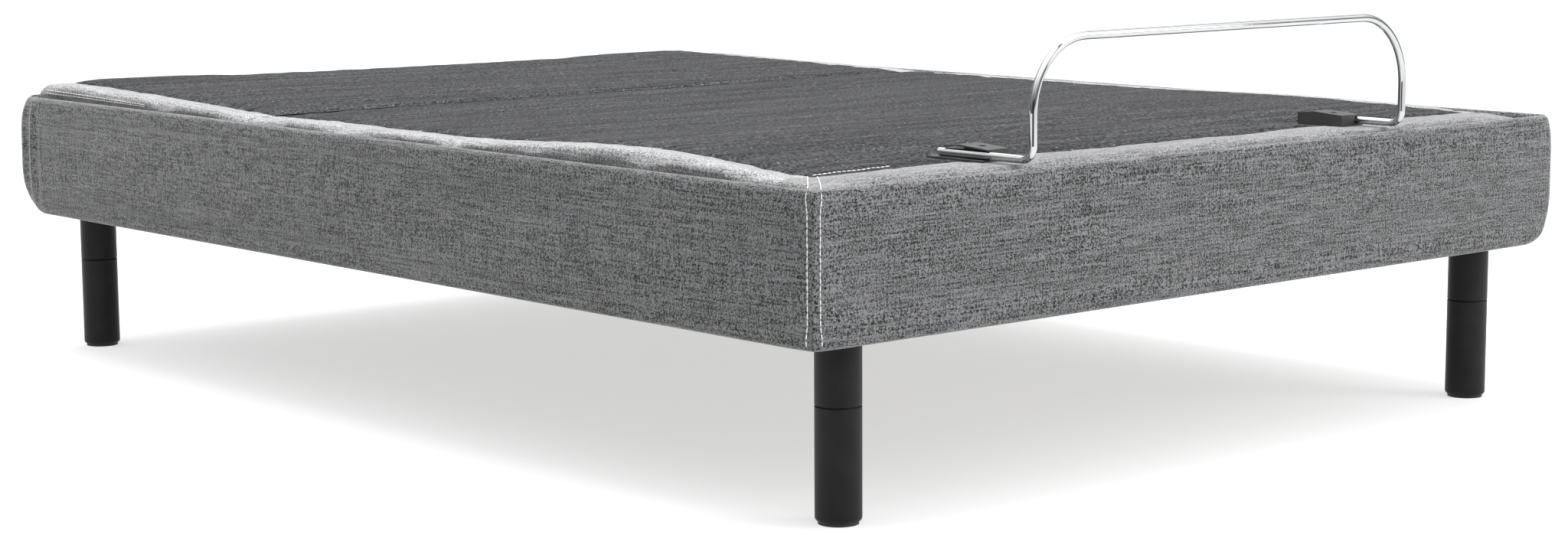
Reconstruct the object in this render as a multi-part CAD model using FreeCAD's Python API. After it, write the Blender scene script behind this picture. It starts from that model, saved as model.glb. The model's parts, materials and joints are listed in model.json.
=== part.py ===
"""Adjustable bed base: a padded deck in hinged sections on a steel frame, inside a fabric skirt.

The frame stands on the floor with its origin at the middle of the footprint.
+X is the bed's width, +Y points to the head end, +Z is up. Millimetres.
The seat section is fixed. The head section folds up from it towards the head, the thigh
section folds up the other way, and the foot section follows the thigh and stays level.
"""
import FreeCAD, Part
import math
import os

# ---- overall sizes -------------------------------------------------------------------------
BED_WIDTH = 1524.0
BED_LENGTH = 2032.0
SKIRT_TOP = 431.0
SKIRT_HEIGHT = 196.0
SKIRT_THICKNESS = 22.0
SKIRT_FOOT_CORNER = 9.0
SKIRT_HEAD_CORNER = 20.0
SKIRT_BOTTOM_CORNER = 36.0

# ---- deck ----------------------------------------------------------------------------------
DECK_GAP = 4.0
PAD_RISE = 2.0
HEAD_CROWN = 16.0
PAD_THICKNESS = 20.0
BOARD_THICKNESS = 15.0
KNEE_FROM_FOOT = 750.0
THIGH_FROM_FOOT = 1175.0
HEAD_FROM_FOOT = 1335.0
BOARD_END_GAP = 0.5

# ---- travel --------------------------------------------------------------------------------
HEAD_TRAVEL = 60.0
THIGH_TRAVEL = 40.0

# ---- hinges --------------------------------------------------------------------------------
HINGE_PLACES = (-500.0, 0.0, 500.0)
HINGE_BELOW_PAD = 12.0
KNEE_BELOW_BOARD = 7.3
KNUCKLE_RADIUS = 7.0
HINGE_PIN_RADIUS = 4.0
RUNNING_CLEARANCE = 0.05
EAR_THICKNESS = 4.0
TUBE_FROM_HINGE = 8.0
EAR_DEPTH = 17.0
OUTER_EAR_WIDTH = 18.0
MIDDLE_EAR_WIDTH = 22.0
EAR_GAP = 1.0
NOTCH_MARGIN = 2.0

# ---- frame tubes ---------------------------------------------------------------------------
FRAME_TUBE = 40.0
SECTION_TUBE = 25.0
TUBE_WALL = 2.0
SECTION_RAIL_END_SETBACK = 25.0
POST_FROM_END = 116.0
BUMPER_HEIGHT = 8.0
SEAT_GAP = 0.3

# ---- legs ----------------------------------------------------------------------------------
LEG_RADIUS = 30.0
LEG_INSET_SIDE = 110.0
LEG_INSET_END = 77.0
LEG_JOINT_HEIGHT = 150.0
LEG_TOP = 250.0
LEG_PLATE_THICKNESS = 6.0
LEG_PLATE_SIZE = 100.0
GLIDE_HEIGHT = 6.0
GLIDE_RADIUS = 26.0
GLIDE_PEG_RADIUS = 5.0
GLIDE_PEG_LENGTH = 12.0
LEG_EDGE = 1.2
STUD_RADIUS = 5.0
STUD_IN_LOWER_LEG = 35.0

# ---- lifting gear --------------------------------------------------------------------------
HEAD_LEVER_X = -130.0
THIGH_LEVER_X = 130.0
LEVER_RADIUS = 120.0
HEAD_LEVER_REST_ANGLE = 35.0
THIGH_LEVER_REST_ANGLE = 22.0
LEVER_THICKNESS = 6.0
LEVER_MARGIN = 18.0
ROD_PIN_RADIUS = 6.0
SLOT_SIDE_CLEARANCE = 2.6
SLOT_END_CLEARANCE = 3.0
SLOT_OUTER_PLAY = 1.0
ACTUATOR_EYE_RADIUS = 13.0
ACTUATOR_EYE_WIDTH = 25.0
EYE_SIDE_GAP = 1.0
HEAD_ACTUATOR_FROM_FOOT = 796.0
THIGH_ACTUATOR_FROM_FOOT = 1696.0
ACTUATOR_PIVOT_RISE = 21.0
THIGH_PIVOT_RISE = 16.0
REAR_PIN_RADIUS = 5.0
HOUSING_FROM_TUBE = 4.0
NECK_OVERLAP = 6.0
BRACKET_FOOT_HEIGHT = 6.0
MOTOR_SINK = 1.0
HOUSING_LENGTH = 62.0
HOUSING_HEIGHT = 64.0
HOUSING_WIDTH = 60.0
MOTOR_RADIUS = 24.0
MOTOR_LENGTH = 120.0
MOTOR_OFFSET = 52.0
OUTER_TUBE_RADIUS = 19.0
OUTER_TUBE_LENGTH = 215.0
ROD_RADIUS = 10.0
ROD_IN_TUBE = 160.0

# ---- links that keep the foot section level ---------------------------------------------------
LINK_FROM_FOOT = 625.0
LINK_ABOVE_RAIL = 2.7
LINK_THICKNESS = 6.0
LINK_HALF_WIDTH = 14.0
LINK_SIDE_GAP = 1.0
LINK_PIN_RADIUS = 6.0
LINK_OPEN_CLEARANCE = 0.4
LINK_BRACKET_THICKNESS = 5.0
LINK_BRACKET_HALF_WIDTH = 16.0
PIN_HEAD_RADIUS = 10.0
PIN_HEAD_THICKNESS = 3.0

# ---- electrics -----------------------------------------------------------------------------
CONTROL_BOX = (160.0, 80.0, 32.0)
CONTROL_BOX_X = 330.0
SUPPLY_BOX = (170.0, 80.0, 45.0)
SUPPLY_BOX_X = -340.0
SOCKET_SIZE = (14.0, 10.0, 9.0)
SOCKET_PITCH = 25.0
CASE_CORNER = 4.0

# ---- mattress retainer bar -------------------------------------------------------------------
BAR_RADIUS = 5.5
BAR_SPACING = 762.0
BAR_RISE = 165.0
BAR_INSET = 6.0
BAR_TOP_BEND = 95.0
BAR_LOW_BEND = 18.0
BAR_REACH = 175.0
CLIP_START = 84.0
CLIP_LENGTH = 81.0
CLIP_WIDTH = 50.0
CLIP_SHEET = 2.0
CLIP_LIP = 8.0
CLIP_COVER = 3.5
CLIP_FOOT_HEIGHT = 16.0
CLIP_RIDGE_HEIGHT = 19.5
CLIP_HEAD_HEIGHT = 16.5
CLIP_RIDGE_SHARE = 0.65
TONGUE_LENGTH = 22.0
TONGUE_WIDTH = 24.0
CLIP_BOLT_RADIUS = 4.0
CLIP_BOLT_CLEARANCE = 0.3
CLIP_BOLT_FROM_FOOT = 114.0
CLIP_BOLT_SHARE = 0.62
CLIP_ACCESS_CLEARANCE = 1.0
BOLT_HEAD_RADIUS = 7.0
BOLT_HEAD_HEIGHT = 5.0

# ---- skirt brackets --------------------------------------------------------------------------
SKIRT_BRACKET_WIDTH = 60.0
SKIRT_BRACKET_SHEET = 3.0
SKIRT_BRACKET_FLANGE = 32.0
SIDE_BRACKET_SHARE = 0.75
END_BRACKET_SHARE = 0.6

# ---- places that follow from the sizes ---------------------------------------------------------
FOOT_FACE = -BED_LENGTH / 2
HEAD_FACE = BED_LENGTH / 2
SIDE_FACE = BED_WIDTH / 2
KNEE_Y = FOOT_FACE + KNEE_FROM_FOOT
THIGH_Y = FOOT_FACE + THIGH_FROM_FOOT
HEAD_Y = FOOT_FACE + HEAD_FROM_FOOT
SKIRT_BOTTOM = SKIRT_TOP - SKIRT_HEIGHT
DECK_SIDE = SIDE_FACE - SKIRT_THICKNESS - DECK_GAP
DECK_FOOT = FOOT_FACE + SKIRT_THICKNESS + DECK_GAP
DECK_HEAD = HEAD_FACE - SKIRT_THICKNESS - DECK_GAP
PAD_TOP = SKIRT_TOP + PAD_RISE
BOARD_TOP = PAD_TOP - PAD_THICKNESS
BOARD_BOTTOM = BOARD_TOP - BOARD_THICKNESS
HINGE_Z = PAD_TOP - HINGE_BELOW_PAD
KNEE_Z = BOARD_BOTTOM - KNEE_BELOW_BOARD
SECTION_TUBE_BOTTOM = BOARD_BOTTOM - SECTION_TUBE
LEG_X = SIDE_FACE - LEG_INSET_SIDE
LEG_Y = HEAD_FACE - LEG_INSET_END
LEG_PLATE_TOP = LEG_TOP + LEG_PLATE_THICKNESS
FRAME_TOP = LEG_PLATE_TOP + FRAME_TUBE
RAIL_INNER = LEG_X - FRAME_TUBE / 2
RAIL_OUTER = LEG_X + FRAME_TUBE / 2
SECTION_OUTER = LEG_X + SECTION_TUBE / 2
SECTION_INNER = LEG_X - SECTION_TUBE / 2
HINGE_WIDTH = 2 * OUTER_EAR_WIDTH + MIDDLE_EAR_WIDTH + 2 * EAR_GAP
NOTCH_HALF = HINGE_WIDTH / 2 + NOTCH_MARGIN
NOTCH_DEPTH = KNUCKLE_RADIUS + NOTCH_MARGIN
LINK_Y = FOOT_FACE + LINK_FROM_FOOT
LINK_RUN = KNEE_Y - THIGH_Y
LINK_DROP = KNEE_Z - HINGE_Z
LINK_PIVOT_HEIGHT = FRAME_TOP + LINK_ABOVE_RAIL + LINK_BRACKET_HALF_WIDTH - LINK_DROP
BAR_Y = FOOT_FACE + BAR_INSET
BAR_X = BAR_SPACING / 2
BAR_LOW_Z = PAD_TOP + SEAT_GAP + CLIP_SHEET + SEAT_GAP + BAR_RADIUS
BAR_TOP_Z = SKIRT_TOP + BAR_RISE
CLIP_Y = FOOT_FACE + CLIP_START
CLIP_BOLT_X = BAR_X + BAR_RADIUS + CLIP_LIP - CLIP_WIDTH * CLIP_BOLT_SHARE
CLIP_BOLT_Y = FOOT_FACE + CLIP_BOLT_FROM_FOOT
HEAD_ACTUATOR_Y = FOOT_FACE + HEAD_ACTUATOR_FROM_FOOT
THIGH_ACTUATOR_Y = FOOT_FACE + THIGH_ACTUATOR_FROM_FOOT
HEAD_PIVOT_Z = FRAME_TOP + ACTUATOR_PIVOT_RISE
HOUSING_START = FRAME_TUBE / 2 + HOUSING_FROM_TUBE
THIGH_PIVOT_Z = FRAME_TOP + THIGH_PIVOT_RISE


def vec(x, y, z):
    """A FreeCAD vector."""
    return FreeCAD.Vector(x, y, z)


def box(x0, x1, y0, y1, z0, z1):
    """A block between two corners."""
    return Part.makeBox(x1 - x0, y1 - y0, z1 - z0, vec(x0, y0, z0))


def rod_x(x0, x1, y, z, radius):
    """A round bar along X."""
    return Part.makeCylinder(radius, x1 - x0, vec(x0, y, z), vec(1, 0, 0))


def rod_z(x, y, z0, z1, radius):
    """A round bar along Z."""
    return Part.makeCylinder(radius, z1 - z0, vec(x, y, z0), vec(0, 0, 1))


def prism_x(outline, x0, x1):
    """A plate whose outline is a list of (y, z) points, from x0 to x1."""
    points = [vec(x0, y, z) for y, z in outline]
    face = Part.Face(Part.makePolygon(points + points[:1]))
    return face.extrude(vec(x1 - x0, 0, 0))


def slot_x(x0, x1, start, end, radius):
    """A round-ended bar shape along X, between two (y, z) centres."""
    run = (end[0] - start[0], end[1] - start[1])
    length = math.hypot(run[0], run[1])
    side = (-run[1] / length * radius, run[0] / length * radius)
    middle = prism_x([
        (start[0] + side[0], start[1] + side[1]),
        (end[0] + side[0], end[1] + side[1]),
        (end[0] - side[0], end[1] - side[1]),
        (start[0] - side[0], start[1] - side[1]),
    ], x0, x1)
    ends = [rod_x(x0, x1, y, z, radius) for y, z in (start, end)]
    return middle.fuse(ends).removeSplitter()


def tube(x0, x1, y0, y1, z0, z1, along):
    """A square tube with open ends along axis x, y or z."""
    wall = {axis: 0.0 if axis == along else TUBE_WALL for axis in "xyz"}
    inner = box(x0 + wall["x"], x1 - wall["x"], y0 + wall["y"], y1 - wall["y"],
                z0 + wall["z"], z1 - wall["z"])
    return box(x0, x1, y0, y1, z0, z1).cut(inner)


def vertical_edges(shape):
    """The straight edges of a shape that run along Z."""
    return [edge for edge in shape.Edges
            if isinstance(edge.Curve, Part.Line) and abs(edge.Curve.Direction.z) > 0.999]


def rims_near(shape, z):
    """The round edges of a shape that lie at height z."""
    return [edge for edge in shape.Edges
            if isinstance(edge.Curve, Part.Circle) and abs(edge.CenterOfMass.z - z) < 0.01]


def both_sides(shape):
    """A shape and its mirror image across the middle of the bed."""
    return [shape, shape.mirror(vec(0, 0, 0), vec(1, 0, 0))]


def save(name, solids):
    """Write one node as one file: a single solid, or a group of separate solids."""
    shape = solids if isinstance(solids, Part.Shape) else Part.makeCompound(solids)
    shape.exportStep("parts/" + name + ".step")


# ---- legs and frame --------------------------------------------------------------------------

def leg_places():
    """The four leg centres."""
    return [(sx * LEG_X, sy * LEG_Y) for sy in (-1, 1) for sx in (-1, 1)]


def leg_lower(x, y):
    """Lower leg segment, rounded where it meets the floor, drilled for its stud and glide."""
    body = rod_z(x, y, GLIDE_HEIGHT / 2, LEG_JOINT_HEIGHT, LEG_RADIUS)
    body = body.makeFillet(GLIDE_HEIGHT, rims_near(body, GLIDE_HEIGHT / 2))
    body = body.makeChamfer(LEG_EDGE, rims_near(body, LEG_JOINT_HEIGHT))
    stud_hole = rod_z(x, y, LEG_JOINT_HEIGHT - STUD_IN_LOWER_LEG, LEG_JOINT_HEIGHT, STUD_RADIUS)
    glide_seat = rod_z(x, y, 0, GLIDE_HEIGHT, GLIDE_RADIUS)
    peg_hole = rod_z(x, y, GLIDE_HEIGHT, GLIDE_HEIGHT + GLIDE_PEG_LENGTH, GLIDE_PEG_RADIUS)
    return body.cut([stud_hole, glide_seat, peg_hole])


def leg_upper(x, y):
    """Upper leg segment, between the lower segment and the frame's leg plate."""
    body = rod_z(x, y, LEG_JOINT_HEIGHT, LEG_TOP, LEG_RADIUS)
    body = body.makeChamfer(LEG_EDGE, rims_near(body, LEG_JOINT_HEIGHT))
    return body.cut(rod_z(x, y, LEG_JOINT_HEIGHT, LEG_TOP, STUD_RADIUS))


def leg_glide(x, y):
    """Floor glide: a disc with a peg that plugs into the leg."""
    disc = rod_z(x, y, 0, GLIDE_HEIGHT, GLIDE_RADIUS)
    peg = rod_z(x, y, GLIDE_HEIGHT, GLIDE_HEIGHT + GLIDE_PEG_LENGTH, GLIDE_PEG_RADIUS)
    return disc.fuse(peg)


def leg_plate(x, y):
    """Plate welded under the frame where a leg screws in."""
    half = LEG_PLATE_SIZE / 2
    plate = box(x - half, x + half, y - half, y + half, LEG_TOP, LEG_PLATE_TOP)
    return plate.cut(rod_z(x, y, LEG_TOP, LEG_PLATE_TOP, STUD_RADIUS))


def make_legs():
    """Legs, glides, studs and the plates that they screw into."""
    save("leg_lowers", [leg_lower(x, y) for x, y in leg_places()])
    save("leg_uppers", [leg_upper(x, y) for x, y in leg_places()])
    save("leg_glides", [leg_glide(x, y) for x, y in leg_places()])
    save("leg_plates", [leg_plate(x, y) for x, y in leg_places()])
    save("leg_studs", [rod_z(x, y, LEG_JOINT_HEIGHT - STUD_IN_LOWER_LEG, LEG_PLATE_TOP,
                             STUD_RADIUS) for x, y in leg_places()])


def make_frame():
    """Side rails, cross tubes and the posts that the deck sections rest on."""
    half = FRAME_TUBE / 2
    side = tube(RAIL_INNER, RAIL_OUTER, -LEG_Y - half, LEG_Y + half,
                LEG_PLATE_TOP, FRAME_TOP, "y")
    right, left = both_sides(side)
    save("side_rail_right", right)
    save("side_rail_left", left)
    save("end_cross_tubes", [frame_cross_tube(-LEG_Y), frame_cross_tube(LEG_Y)])
    save("actuator_cross_tubes", [frame_cross_tube(HEAD_ACTUATOR_Y),
                                  frame_cross_tube(THIGH_ACTUATOR_Y)])
    posts = []
    for y in seat_tube_centres():
        posts += both_sides(post(y, SECTION_TUBE_BOTTOM))
    for y in rest_post_centres():
        posts += both_sides(post(y, SECTION_TUBE_BOTTOM - SEAT_GAP - BUMPER_HEIGHT))
    save("deck_posts", posts)
    bumpers = []
    for y in rest_post_centres():
        top = SECTION_TUBE_BOTTOM - SEAT_GAP
        bumpers += both_sides(box(SECTION_INNER, SECTION_OUTER, y - SECTION_TUBE / 2,
                                  y + SECTION_TUBE / 2, top - BUMPER_HEIGHT, top))
    save("rest_bumpers", bumpers)


def frame_cross_tube(y):
    """Frame tube across the bed, between the side rails."""
    half = FRAME_TUBE / 2
    return tube(-RAIL_INNER, RAIL_INNER, y - half, y + half, LEG_PLATE_TOP, FRAME_TOP, "x")


def seat_tube_centres():
    """Where the two tubes under the fixed seat board lie."""
    reach = TUBE_FROM_HINGE + SECTION_TUBE / 2
    return THIGH_Y + reach, HEAD_Y - reach


def rest_post_centres():
    """Where the foot and head sections rest on bumpers when they are down."""
    return FOOT_FACE + POST_FROM_END, HEAD_FACE - POST_FROM_END


def post(y, top):
    """Upright tube on a side rail."""
    half = SECTION_TUBE / 2
    return tube(SECTION_INNER, SECTION_OUTER, y - half, y + half, FRAME_TOP, top, "z")


# ---- deck sections -----------------------------------------------------------------------------

def section_tube(y_low):
    """Tube across a deck section, just under its board."""
    return tube(-SECTION_OUTER, SECTION_OUTER, y_low, y_low + SECTION_TUBE,
                SECTION_TUBE_BOTTOM, BOARD_BOTTOM, "x")


def section_rails(y0, y1):
    """The two tubes along a deck section, between its cross tubes."""
    return both_sides(tube(SECTION_INNER, SECTION_OUTER, y0, y1,
                           SECTION_TUBE_BOTTOM, BOARD_BOTTOM, "y"))


def notches(line_y):
    """Clearance pockets in boards and pads around the hinges of one hinge line."""
    return [box(x - NOTCH_HALF, x + NOTCH_HALF, line_y - NOTCH_DEPTH, line_y + NOTCH_DEPTH,
                BOARD_BOTTOM, PAD_TOP + HEAD_CROWN) for x in HINGE_PLACES]


def clip_bolt_holes():
    """Holes through the foot section's pad and board for the retainer clip bolts."""
    radius = CLIP_BOLT_RADIUS + CLIP_BOLT_CLEARANCE
    return both_sides(rod_z(CLIP_BOLT_X, CLIP_BOLT_Y, BOARD_BOTTOM, PAD_TOP, radius))


def board(y0, y1, cuts):
    """Deck board with its hinge notches and holes."""
    return box(-DECK_SIDE, DECK_SIDE, y0, y1, BOARD_BOTTOM, BOARD_TOP).cut(cuts)


def bevel(travel):
    """How far a pad's end leans back at its top, so that two pads can fold together."""
    return HINGE_BELOW_PAD * math.tan(math.radians(travel / 2))


def pad(outline, cuts):
    """Deck pad whose (y, z) outline runs across the whole width."""
    return prism_x(outline, -DECK_SIDE, DECK_SIDE).cut(cuts)


def make_seat():
    """Fixed seat section."""
    y0 = THIGH_Y + BOARD_END_GAP
    y1 = HEAD_Y - BOARD_END_GAP
    cuts = notches(THIGH_Y) + notches(HEAD_Y)
    save("seat_board", board(y0, y1, cuts))
    save("seat_pad", pad([
        (y0, BOARD_TOP), (y1, BOARD_TOP), (y1, HINGE_Z), (y1 - bevel(HEAD_TRAVEL), PAD_TOP),
        (y0 + bevel(THIGH_TRAVEL), PAD_TOP), (y0, HINGE_Z)], cuts))
    save("seat_cross_tubes", [section_tube(y - SECTION_TUBE / 2) for y in seat_tube_centres()])


def make_head():
    """Head section: its pad thickens towards the head end."""
    y0 = HEAD_Y + BOARD_END_GAP
    cuts = notches(HEAD_Y)
    save("head_board", board(y0, DECK_HEAD, cuts))
    save("head_pad", pad([
        (y0, BOARD_TOP), (DECK_HEAD, BOARD_TOP), (DECK_HEAD, PAD_TOP + HEAD_CROWN),
        (y0 + bevel(HEAD_TRAVEL), PAD_TOP), (y0, HINGE_Z)], cuts))
    lift_y = HEAD_Y + TUBE_FROM_HINGE
    end_y = DECK_HEAD - SECTION_RAIL_END_SETBACK - SECTION_TUBE
    save("head_cross_tubes", [section_tube(lift_y), section_tube(end_y)])
    save("head_rails", section_rails(lift_y + SECTION_TUBE, end_y))


def make_thigh():
    """Thigh section, between the seat and the knee."""
    y0 = KNEE_Y + BOARD_END_GAP
    y1 = THIGH_Y - BOARD_END_GAP
    cuts = notches(THIGH_Y)
    save("thigh_board", board(y0, y1, cuts))
    save("thigh_pad", pad([
        (y0, BOARD_TOP), (y1, BOARD_TOP), (y1, HINGE_Z), (y1 - bevel(THIGH_TRAVEL), PAD_TOP),
        (y0, PAD_TOP)], cuts))
    knee_y = KNEE_Y + TUBE_FROM_HINGE
    lift_y = THIGH_Y - TUBE_FROM_HINGE - SECTION_TUBE
    save("thigh_cross_tubes", [section_tube(knee_y), section_tube(lift_y)])
    save("thigh_rails", section_rails(knee_y + SECTION_TUBE, lift_y))


def make_foot():
    """Foot section, from the knee to the foot end."""
    y1 = KNEE_Y - BOARD_END_GAP
    cuts = clip_bolt_holes()
    save("foot_board", board(DECK_FOOT, y1, cuts))
    save("foot_pad", pad([(DECK_FOOT, BOARD_TOP), (y1, BOARD_TOP), (y1, PAD_TOP),
                          (DECK_FOOT, PAD_TOP)], cuts))
    end_y = DECK_FOOT + SECTION_RAIL_END_SETBACK
    knee_y = KNEE_Y - TUBE_FROM_HINGE - SECTION_TUBE
    save("foot_cross_tubes", [section_tube(end_y), section_tube(knee_y)])
    save("foot_rails", section_rails(end_y + SECTION_TUBE, knee_y))


# ---- hinges --------------------------------------------------------------------------------

def hinge_ear(x0, x1, line_y, z, side, depth):
    """Strap welded to a cross tube's face that ends in a hinge knuckle.

    side is +1 where the tube lies on the head side of the hinge line, else -1.
    """
    near = line_y + side * (TUBE_FROM_HINGE - EAR_THICKNESS)
    far = line_y + side * TUBE_FROM_HINGE
    strap = box(x0, x1, min(near, far), max(near, far), z - depth, z)
    knuckle = rod_x(x0, x1, line_y, z, KNUCKLE_RADIUS)
    keep = box(x0, x1, line_y - KNUCKLE_RADIUS, line_y + KNUCKLE_RADIUS,
               z - KNUCKLE_RADIUS, z + KNUCKLE_RADIUS)
    ear = strap.fuse(knuckle.common(keep)).removeSplitter()
    return ear.cut(rod_x(x0, x1, line_y, z, HINGE_PIN_RADIUS + RUNNING_CLEARANCE))


def hinge_set(line_y, z, fixed_side, depth):
    """One hinge line: the outer ears, the middle ears and the pins."""
    outer, middle, pins = [], [], []
    half = HINGE_WIDTH / 2
    for x in HINGE_PLACES:
        for x0 in (x - half, x + half - OUTER_EAR_WIDTH):
            outer.append(hinge_ear(x0, x0 + OUTER_EAR_WIDTH, line_y, z, fixed_side, depth))
        x0 = x - MIDDLE_EAR_WIDTH / 2
        middle.append(hinge_ear(x0, x0 + MIDDLE_EAR_WIDTH, line_y, z, -fixed_side, depth))
        pins.append(rod_x(x - half, x + half, line_y, z, HINGE_PIN_RADIUS))
    return outer, middle, pins


def make_hinges():
    """The three hinge lines of the deck."""
    deck_depth = HINGE_Z - SECTION_TUBE_BOTTOM - EAR_DEPTH
    head_outer, head_middle, head_pins = hinge_set(HEAD_Y, HINGE_Z, -1, deck_depth)
    thigh_outer, thigh_middle, thigh_pins = hinge_set(THIGH_Y, HINGE_Z, 1, deck_depth)
    knee_depth = KNEE_Z - SECTION_TUBE_BOTTOM - KNUCKLE_RADIUS
    knee_outer, knee_middle, knee_pins = hinge_set(KNEE_Y, KNEE_Z, 1, knee_depth)
    save("seat_hinge_ears", head_outer + thigh_outer)
    save("seat_hinge_pins", head_pins + thigh_pins)
    save("head_hinge_ears", head_middle)
    save("thigh_hinge_ears", thigh_middle + knee_outer)
    save("knee_hinge_pins", knee_pins)
    save("foot_hinge_ears", knee_middle)


# ---- lifting gear ------------------------------------------------------------------------------

def lever_point(line_y, angle, radius, aside):
    """A (y, z) point on a lever: radius from the hinge, aside towards the lever's back.

    angle is measured from straight down, positive towards the foot end.
    """
    turn = math.radians(angle)
    down = (-math.sin(turn), -math.cos(turn))
    back = (-math.cos(turn), math.sin(turn))
    return (line_y + radius * down[0] + aside * back[0],
            HINGE_Z + radius * down[1] + aside * back[1])


def levers(line_y, angle, travel, x_centre, tube_low):
    """A pair of slotted lever plates under a section's lift tube.

    The pin sits at the slot's outer end at rest. As the section turns, the pin runs along a
    straight line, so the slot reaches in by the height of the lever's arc.
    """
    sense = 1 if angle > 0 else -1
    inner = LEVER_RADIUS * math.cos(math.radians(travel / 2)) - SLOT_END_CLEARANCE
    tube_back = tube_low if angle > 0 else tube_low + SECTION_TUBE
    tube_front = tube_low + SECTION_TUBE if angle > 0 else tube_low
    tip = LEVER_RADIUS + LEVER_MARGIN
    outline = [
        (tube_front, SECTION_TUBE_BOTTOM),
        (tube_back, SECTION_TUBE_BOTTOM),
        lever_point(line_y, angle, inner, sense * LEVER_MARGIN),
        lever_point(line_y, angle, tip, sense * LEVER_MARGIN),
        lever_point(line_y, angle, tip, -sense * LEVER_MARGIN),
    ]
    slot_radius = ROD_PIN_RADIUS + SLOT_SIDE_CLEARANCE
    plates = []
    for x0 in lever_plate_starts(x_centre):
        x1 = x0 + LEVER_THICKNESS
        slot = slot_x(x0, x1, lever_point(line_y, angle, inner, 0),
                      lever_point(line_y, angle, LEVER_RADIUS + SLOT_OUTER_PLAY, 0), slot_radius)
        plates.append(prism_x(outline, x0, x1).cut(slot))
    return plates


def lever_plate_starts(x_centre):
    """The low X face of each plate of a pair that straddles an actuator eye."""
    reach = ACTUATOR_EYE_WIDTH / 2 + EYE_SIDE_GAP
    return x_centre - reach - LEVER_THICKNESS, x_centre + reach


def pin_across(x_centre, point, radius):
    """A pin through an eye and the pair of plates beside it."""
    half = ACTUATOR_EYE_WIDTH / 2 + EYE_SIDE_GAP + LEVER_THICKNESS + EYE_SIDE_GAP
    return rod_x(x_centre - half, x_centre + half, point[0], point[1], radius)


def along(origin, direction, distance, rise=0.0):
    """A (y, z) point at a distance along a direction, and a rise square to it."""
    return (origin[0] + direction[0] * distance - direction[1] * rise,
            origin[1] + direction[1] * distance + direction[0] * rise)


def cylinder_along(x, origin, direction, start, end, radius):
    """A round bar in the actuator's plane, along its direction."""
    foot = along(origin, direction, start)
    return Part.makeCylinder(radius, end - start, vec(x, foot[0], foot[1]),
                             vec(0, direction[0], direction[1]))


def make_actuator(name, x, pivot, eye, motor_side):
    """A linear actuator from its rear pivot to the eye at its rod's end."""
    length = math.hypot(eye[0] - pivot[0], eye[1] - pivot[1])
    direction = ((eye[0] - pivot[0]) / length, (eye[1] - pivot[1]) / length)
    half_eye = ACTUATOR_EYE_WIDTH / 2
    tube_start = HOUSING_START + HOUSING_LENGTH
    tube_end = tube_start + OUTER_TUBE_LENGTH
    bore = ROD_RADIUS + RUNNING_CLEARANCE

    neck = slot_x(x - half_eye, x + half_eye, pivot,
                  along(pivot, direction, HOUSING_START + NECK_OVERLAP), ACTUATOR_EYE_RADIUS)
    corners = [along(pivot, direction, d, h) for d, h in (
        (HOUSING_START, -HOUSING_HEIGHT / 2), (tube_start, -HOUSING_HEIGHT / 2),
        (tube_start, HOUSING_HEIGHT / 2), (HOUSING_START, HOUSING_HEIGHT / 2))]
    x_inner = x - motor_side * HOUSING_WIDTH / 2
    x_outer = x + motor_side * (MOTOR_OFFSET + MOTOR_RADIUS)
    case = prism_x(corners, min(x_inner, x_outer), max(x_inner, x_outer))
    motor = cylinder_along(x + motor_side * MOTOR_OFFSET, pivot, direction,
                           tube_start - MOTOR_SINK, tube_start + MOTOR_LENGTH, MOTOR_RADIUS)
    housing = case.fuse([neck, motor]).removeSplitter()
    housing = housing.cut(rod_x(x - half_eye, x + half_eye, pivot[0], pivot[1],
                                REAR_PIN_RADIUS + RUNNING_CLEARANCE))
    save(name + "_actuator_housing", housing)

    outer = cylinder_along(x, pivot, direction, tube_start, tube_end, OUTER_TUBE_RADIUS)
    hollow = cylinder_along(x, pivot, direction, tube_start + TUBE_WALL, tube_end, bore)
    save(name + "_actuator_tube", outer.cut(hollow))

    rod_start = tube_end - ROD_IN_TUBE
    rod = cylinder_along(x, pivot, direction, rod_start, length, ROD_RADIUS)
    ring = rod_x(x - half_eye, x + half_eye, eye[0], eye[1], ACTUATOR_EYE_RADIUS)
    rod = rod.fuse(ring).removeSplitter()
    save(name + "_actuator_rod", rod.cut(rod_x(x - half_eye, x + half_eye, eye[0], eye[1],
                                               ROD_PIN_RADIUS)))
    save(name + "_actuator_pin", pin_across(x, eye, ROD_PIN_RADIUS))


def rear_bracket(x_centre, pivot):
    """The two plates on a frame cross tube that hold an actuator's rear pin."""
    half = FRAME_TUBE / 2
    plates = []
    for x0 in lever_plate_starts(x_centre):
        x1 = x0 + LEVER_THICKNESS
        foot = box(x0, x1, pivot[0] - half, pivot[0] + half, FRAME_TOP,
                   FRAME_TOP + BRACKET_FOOT_HEIGHT)
        lobe = rod_x(x0, x1, pivot[0], pivot[1], ACTUATOR_EYE_RADIUS)
        web = box(x0, x1, pivot[0] - ACTUATOR_EYE_RADIUS, pivot[0] + ACTUATOR_EYE_RADIUS,
                  FRAME_TOP, pivot[1])
        lobe = lobe.common(box(x0, x1, pivot[0] - half, pivot[0] + half, FRAME_TOP,
                               pivot[1] + half))
        plate = foot.fuse([lobe, web]).removeSplitter()
        plates.append(plate.cut(rod_x(x0, x1, pivot[0], pivot[1], REAR_PIN_RADIUS)))
    return plates


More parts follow.
